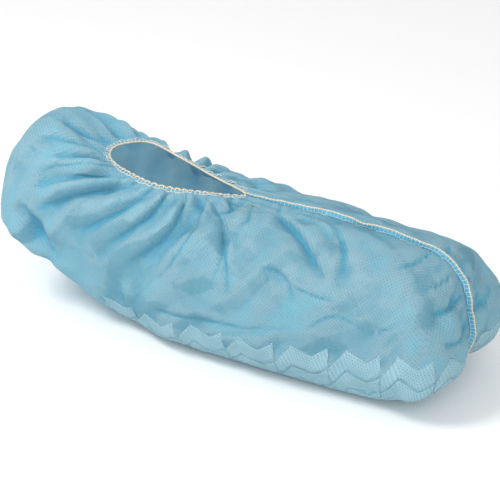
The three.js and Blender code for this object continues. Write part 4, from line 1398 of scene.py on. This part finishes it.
def grip_rows():
    """Distances below the sawtooth edge, and for each gap between rows whether it is printed."""
    rows, printed = [], []
    for band in range(9):
        start = band * BAND_PITCH
        rows += list(start + BAND_WIDE * np.arange(ROWS_PER_PITCH) / (ROWS_PER_PITCH - 1))
        printed += [True] * (ROWS_PER_PITCH - 1) + [False]
    return np.array(rows), printed


units = np.arange(-GRIP_PAIRS * COLUMNS_PER_PAIR, GRIP_PAIRS * COLUMNS_PER_PAIR + 1) / COLUMNS_PER_PAIR
grip_round = units * PAIR_SHARE
edge_high = np.interp(np.abs(grip_round), GRIP_EDGE[:, 0], GRIP_EDGE[:, 1])
tooth = np.interp(np.abs(units) % 1, TOOTH_PAIR[:, 0], TOOTH_PAIR[:, 1])
edge_height = (edge_high - TOOTH_DEPTH * tooth) * HEIGHT
lines, line_run = plain_lines(grip_round)
edge_run = np.empty(len(units))
for k in range(len(units)):
    height_down = lines[k, :, 2]
    start = int(np.argmax(height_down))
    below = np.nonzero(height_down[start:] <= edge_height[k])[0]
    here = start + int(below[0])
    a, b = height_down[here - 1], height_down[here]
    q = (a - edge_height[k]) / max(a - b, 1e-9)
    edge_run[k] = line_run[k, here - 1] + q * (line_run[k, here] - line_run[k, here - 1])
row_below, row_printed = grip_rows()
print("teeth: edge", edge_height.min().round(0), "to", edge_height.max().round(0), "mm high")

# %% Mesh of the grip
PRINT_OFF = 0.06
PRINT_THICK = 0.09
NARROWEST = 0.05
total = line_run[:, -1]
wanted = np.minimum(edge_run[:, None] + row_below[None, :], total[:, None] - 0.3)
grip_downs = (wanted - RIM_START) / (total[:, None] - RIM_START)
spots, out = on_cloth(np.repeat(grip_round, len(row_below)), grip_downs.reshape(-1))
grip_points = spots + out * PRINT_OFF
grip_faces = []
row_count = len(row_below)
row_gap = np.diff(wanted, axis=1)
for i in range(len(units) - 1):
    for j in range(row_count - 1):
        if row_printed[j] and min(row_gap[i, j], row_gap[i + 1, j]) > NARROWEST:
            a, b = i * row_count + j, (i + 1) * row_count + j
            grip_faces.append([a, b, b + 1, a + 1])
used = np.unique(np.array(grip_faces))
renumber = np.full(len(grip_points), -1)
renumber[used] = np.arange(len(used))
grip_print = new_piece("grip_print", grip_points[used], renumber[np.array(grip_faces)])
along_edge = np.repeat(grip_round * PERIMETER, row_count)[used] * MM
below_edge = np.tile(row_below, len(units))[used] * MM
add_numbers(grip_print, "print_place", np.c_[along_edge, below_edge, np.zeros(len(used))])
coat = grip_print.modifiers.new("coat", "SOLIDIFY")
coat.thickness = PRINT_THICK * MM
coat.offset = 1.0
print("grip_print:", len(grip_faces), "faces")

# %% [markdown]
# The print is pale and matt, and a little see-through, so that the tones of the cloth come through
# it. Its crossing lines leave small diamonds of cloth between them. They are too many to cut out of
# the mesh, so here they are a darker colour and a dip in the print.

# %% Finish of the grip
GRIP_LATTICE = 2.05 * MM
GRIP_LINE = (0.50, 0.69, 0.745, 1.0)
GRIP_HOLE = (0.20, 0.48, 0.60, 1.0)


def grip_finish():
    material, start = new_material("grip_print")
    u, v = start.attribute("print_place", "Vector").parts(2)
    k = math.pi / GRIP_LATTICE
    first = ((u + v * 0.3) * k).sine().size()
    second = ((v - u * 0.15) * k).sine().size()
    hole = first.step(0.35, 0.8) * second.step(0.35, 0.8)
    worn = start.noise(object_place(start), 60.0, 3.0)
    colour = (worn * 0.35 + hole * 0.75).blend(GRIP_LINE, GRIP_HOLE)
    cover = 0.68 - worn * 0.30
    bump = start.bump(0.3, 0.12, 1 - hole)
    skin = start.node(
        "ShaderNodeBsdfPrincipled", None,
        {"Base Color": colour, "Roughness": 0.5 + worn * 0.2, "Alpha": cover, "Normal": bump,
         "Specular IOR Level": 0.3},
    )
    return finish_with(material, start, skin)


grip_print.data.materials.append(grip_finish())
print("grip finish:", grip_print.data.materials[0].name)

# %% [markdown]
# The floor gets plain pale matt paint, so that nothing in the picture draws the eye from the cover.

# %% Floor finish
floor_paint, floor_start = new_material("pale_floor")
floor_skin = floor_start.node(
    "ShaderNodeBsdfPrincipled", None, {"Base Color": (0.93, 0.93, 0.93, 1.0), "Roughness": 0.8}
)
floor.data.materials.append(finish_with(floor_paint, floor_start, floor_skin))

# %% [markdown]
# Last, every piece is tied to the frame: which CAD solid it stands for, which body it moves with,
# and which slot of the record its finish belongs to.

# %% Tie the pieces to the frame
PIECES = [
    (cover_cloth, "cover_shell", "cloth"),
    (seam_allowance, "seam_fin", "cloth"),
    (seam_binding, "seam_edge_thread", "thread"),
    (rim_binding, "opening_elastic", "thread"),
    (rim_overlock, None, "thread"),
    (seam_overlock, None, "thread"),
    (grip_print, "sole_grip", "grip"),
]
for piece, node, slot_name in PIECES:
    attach(piece, "root")
    if node:
        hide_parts(node)
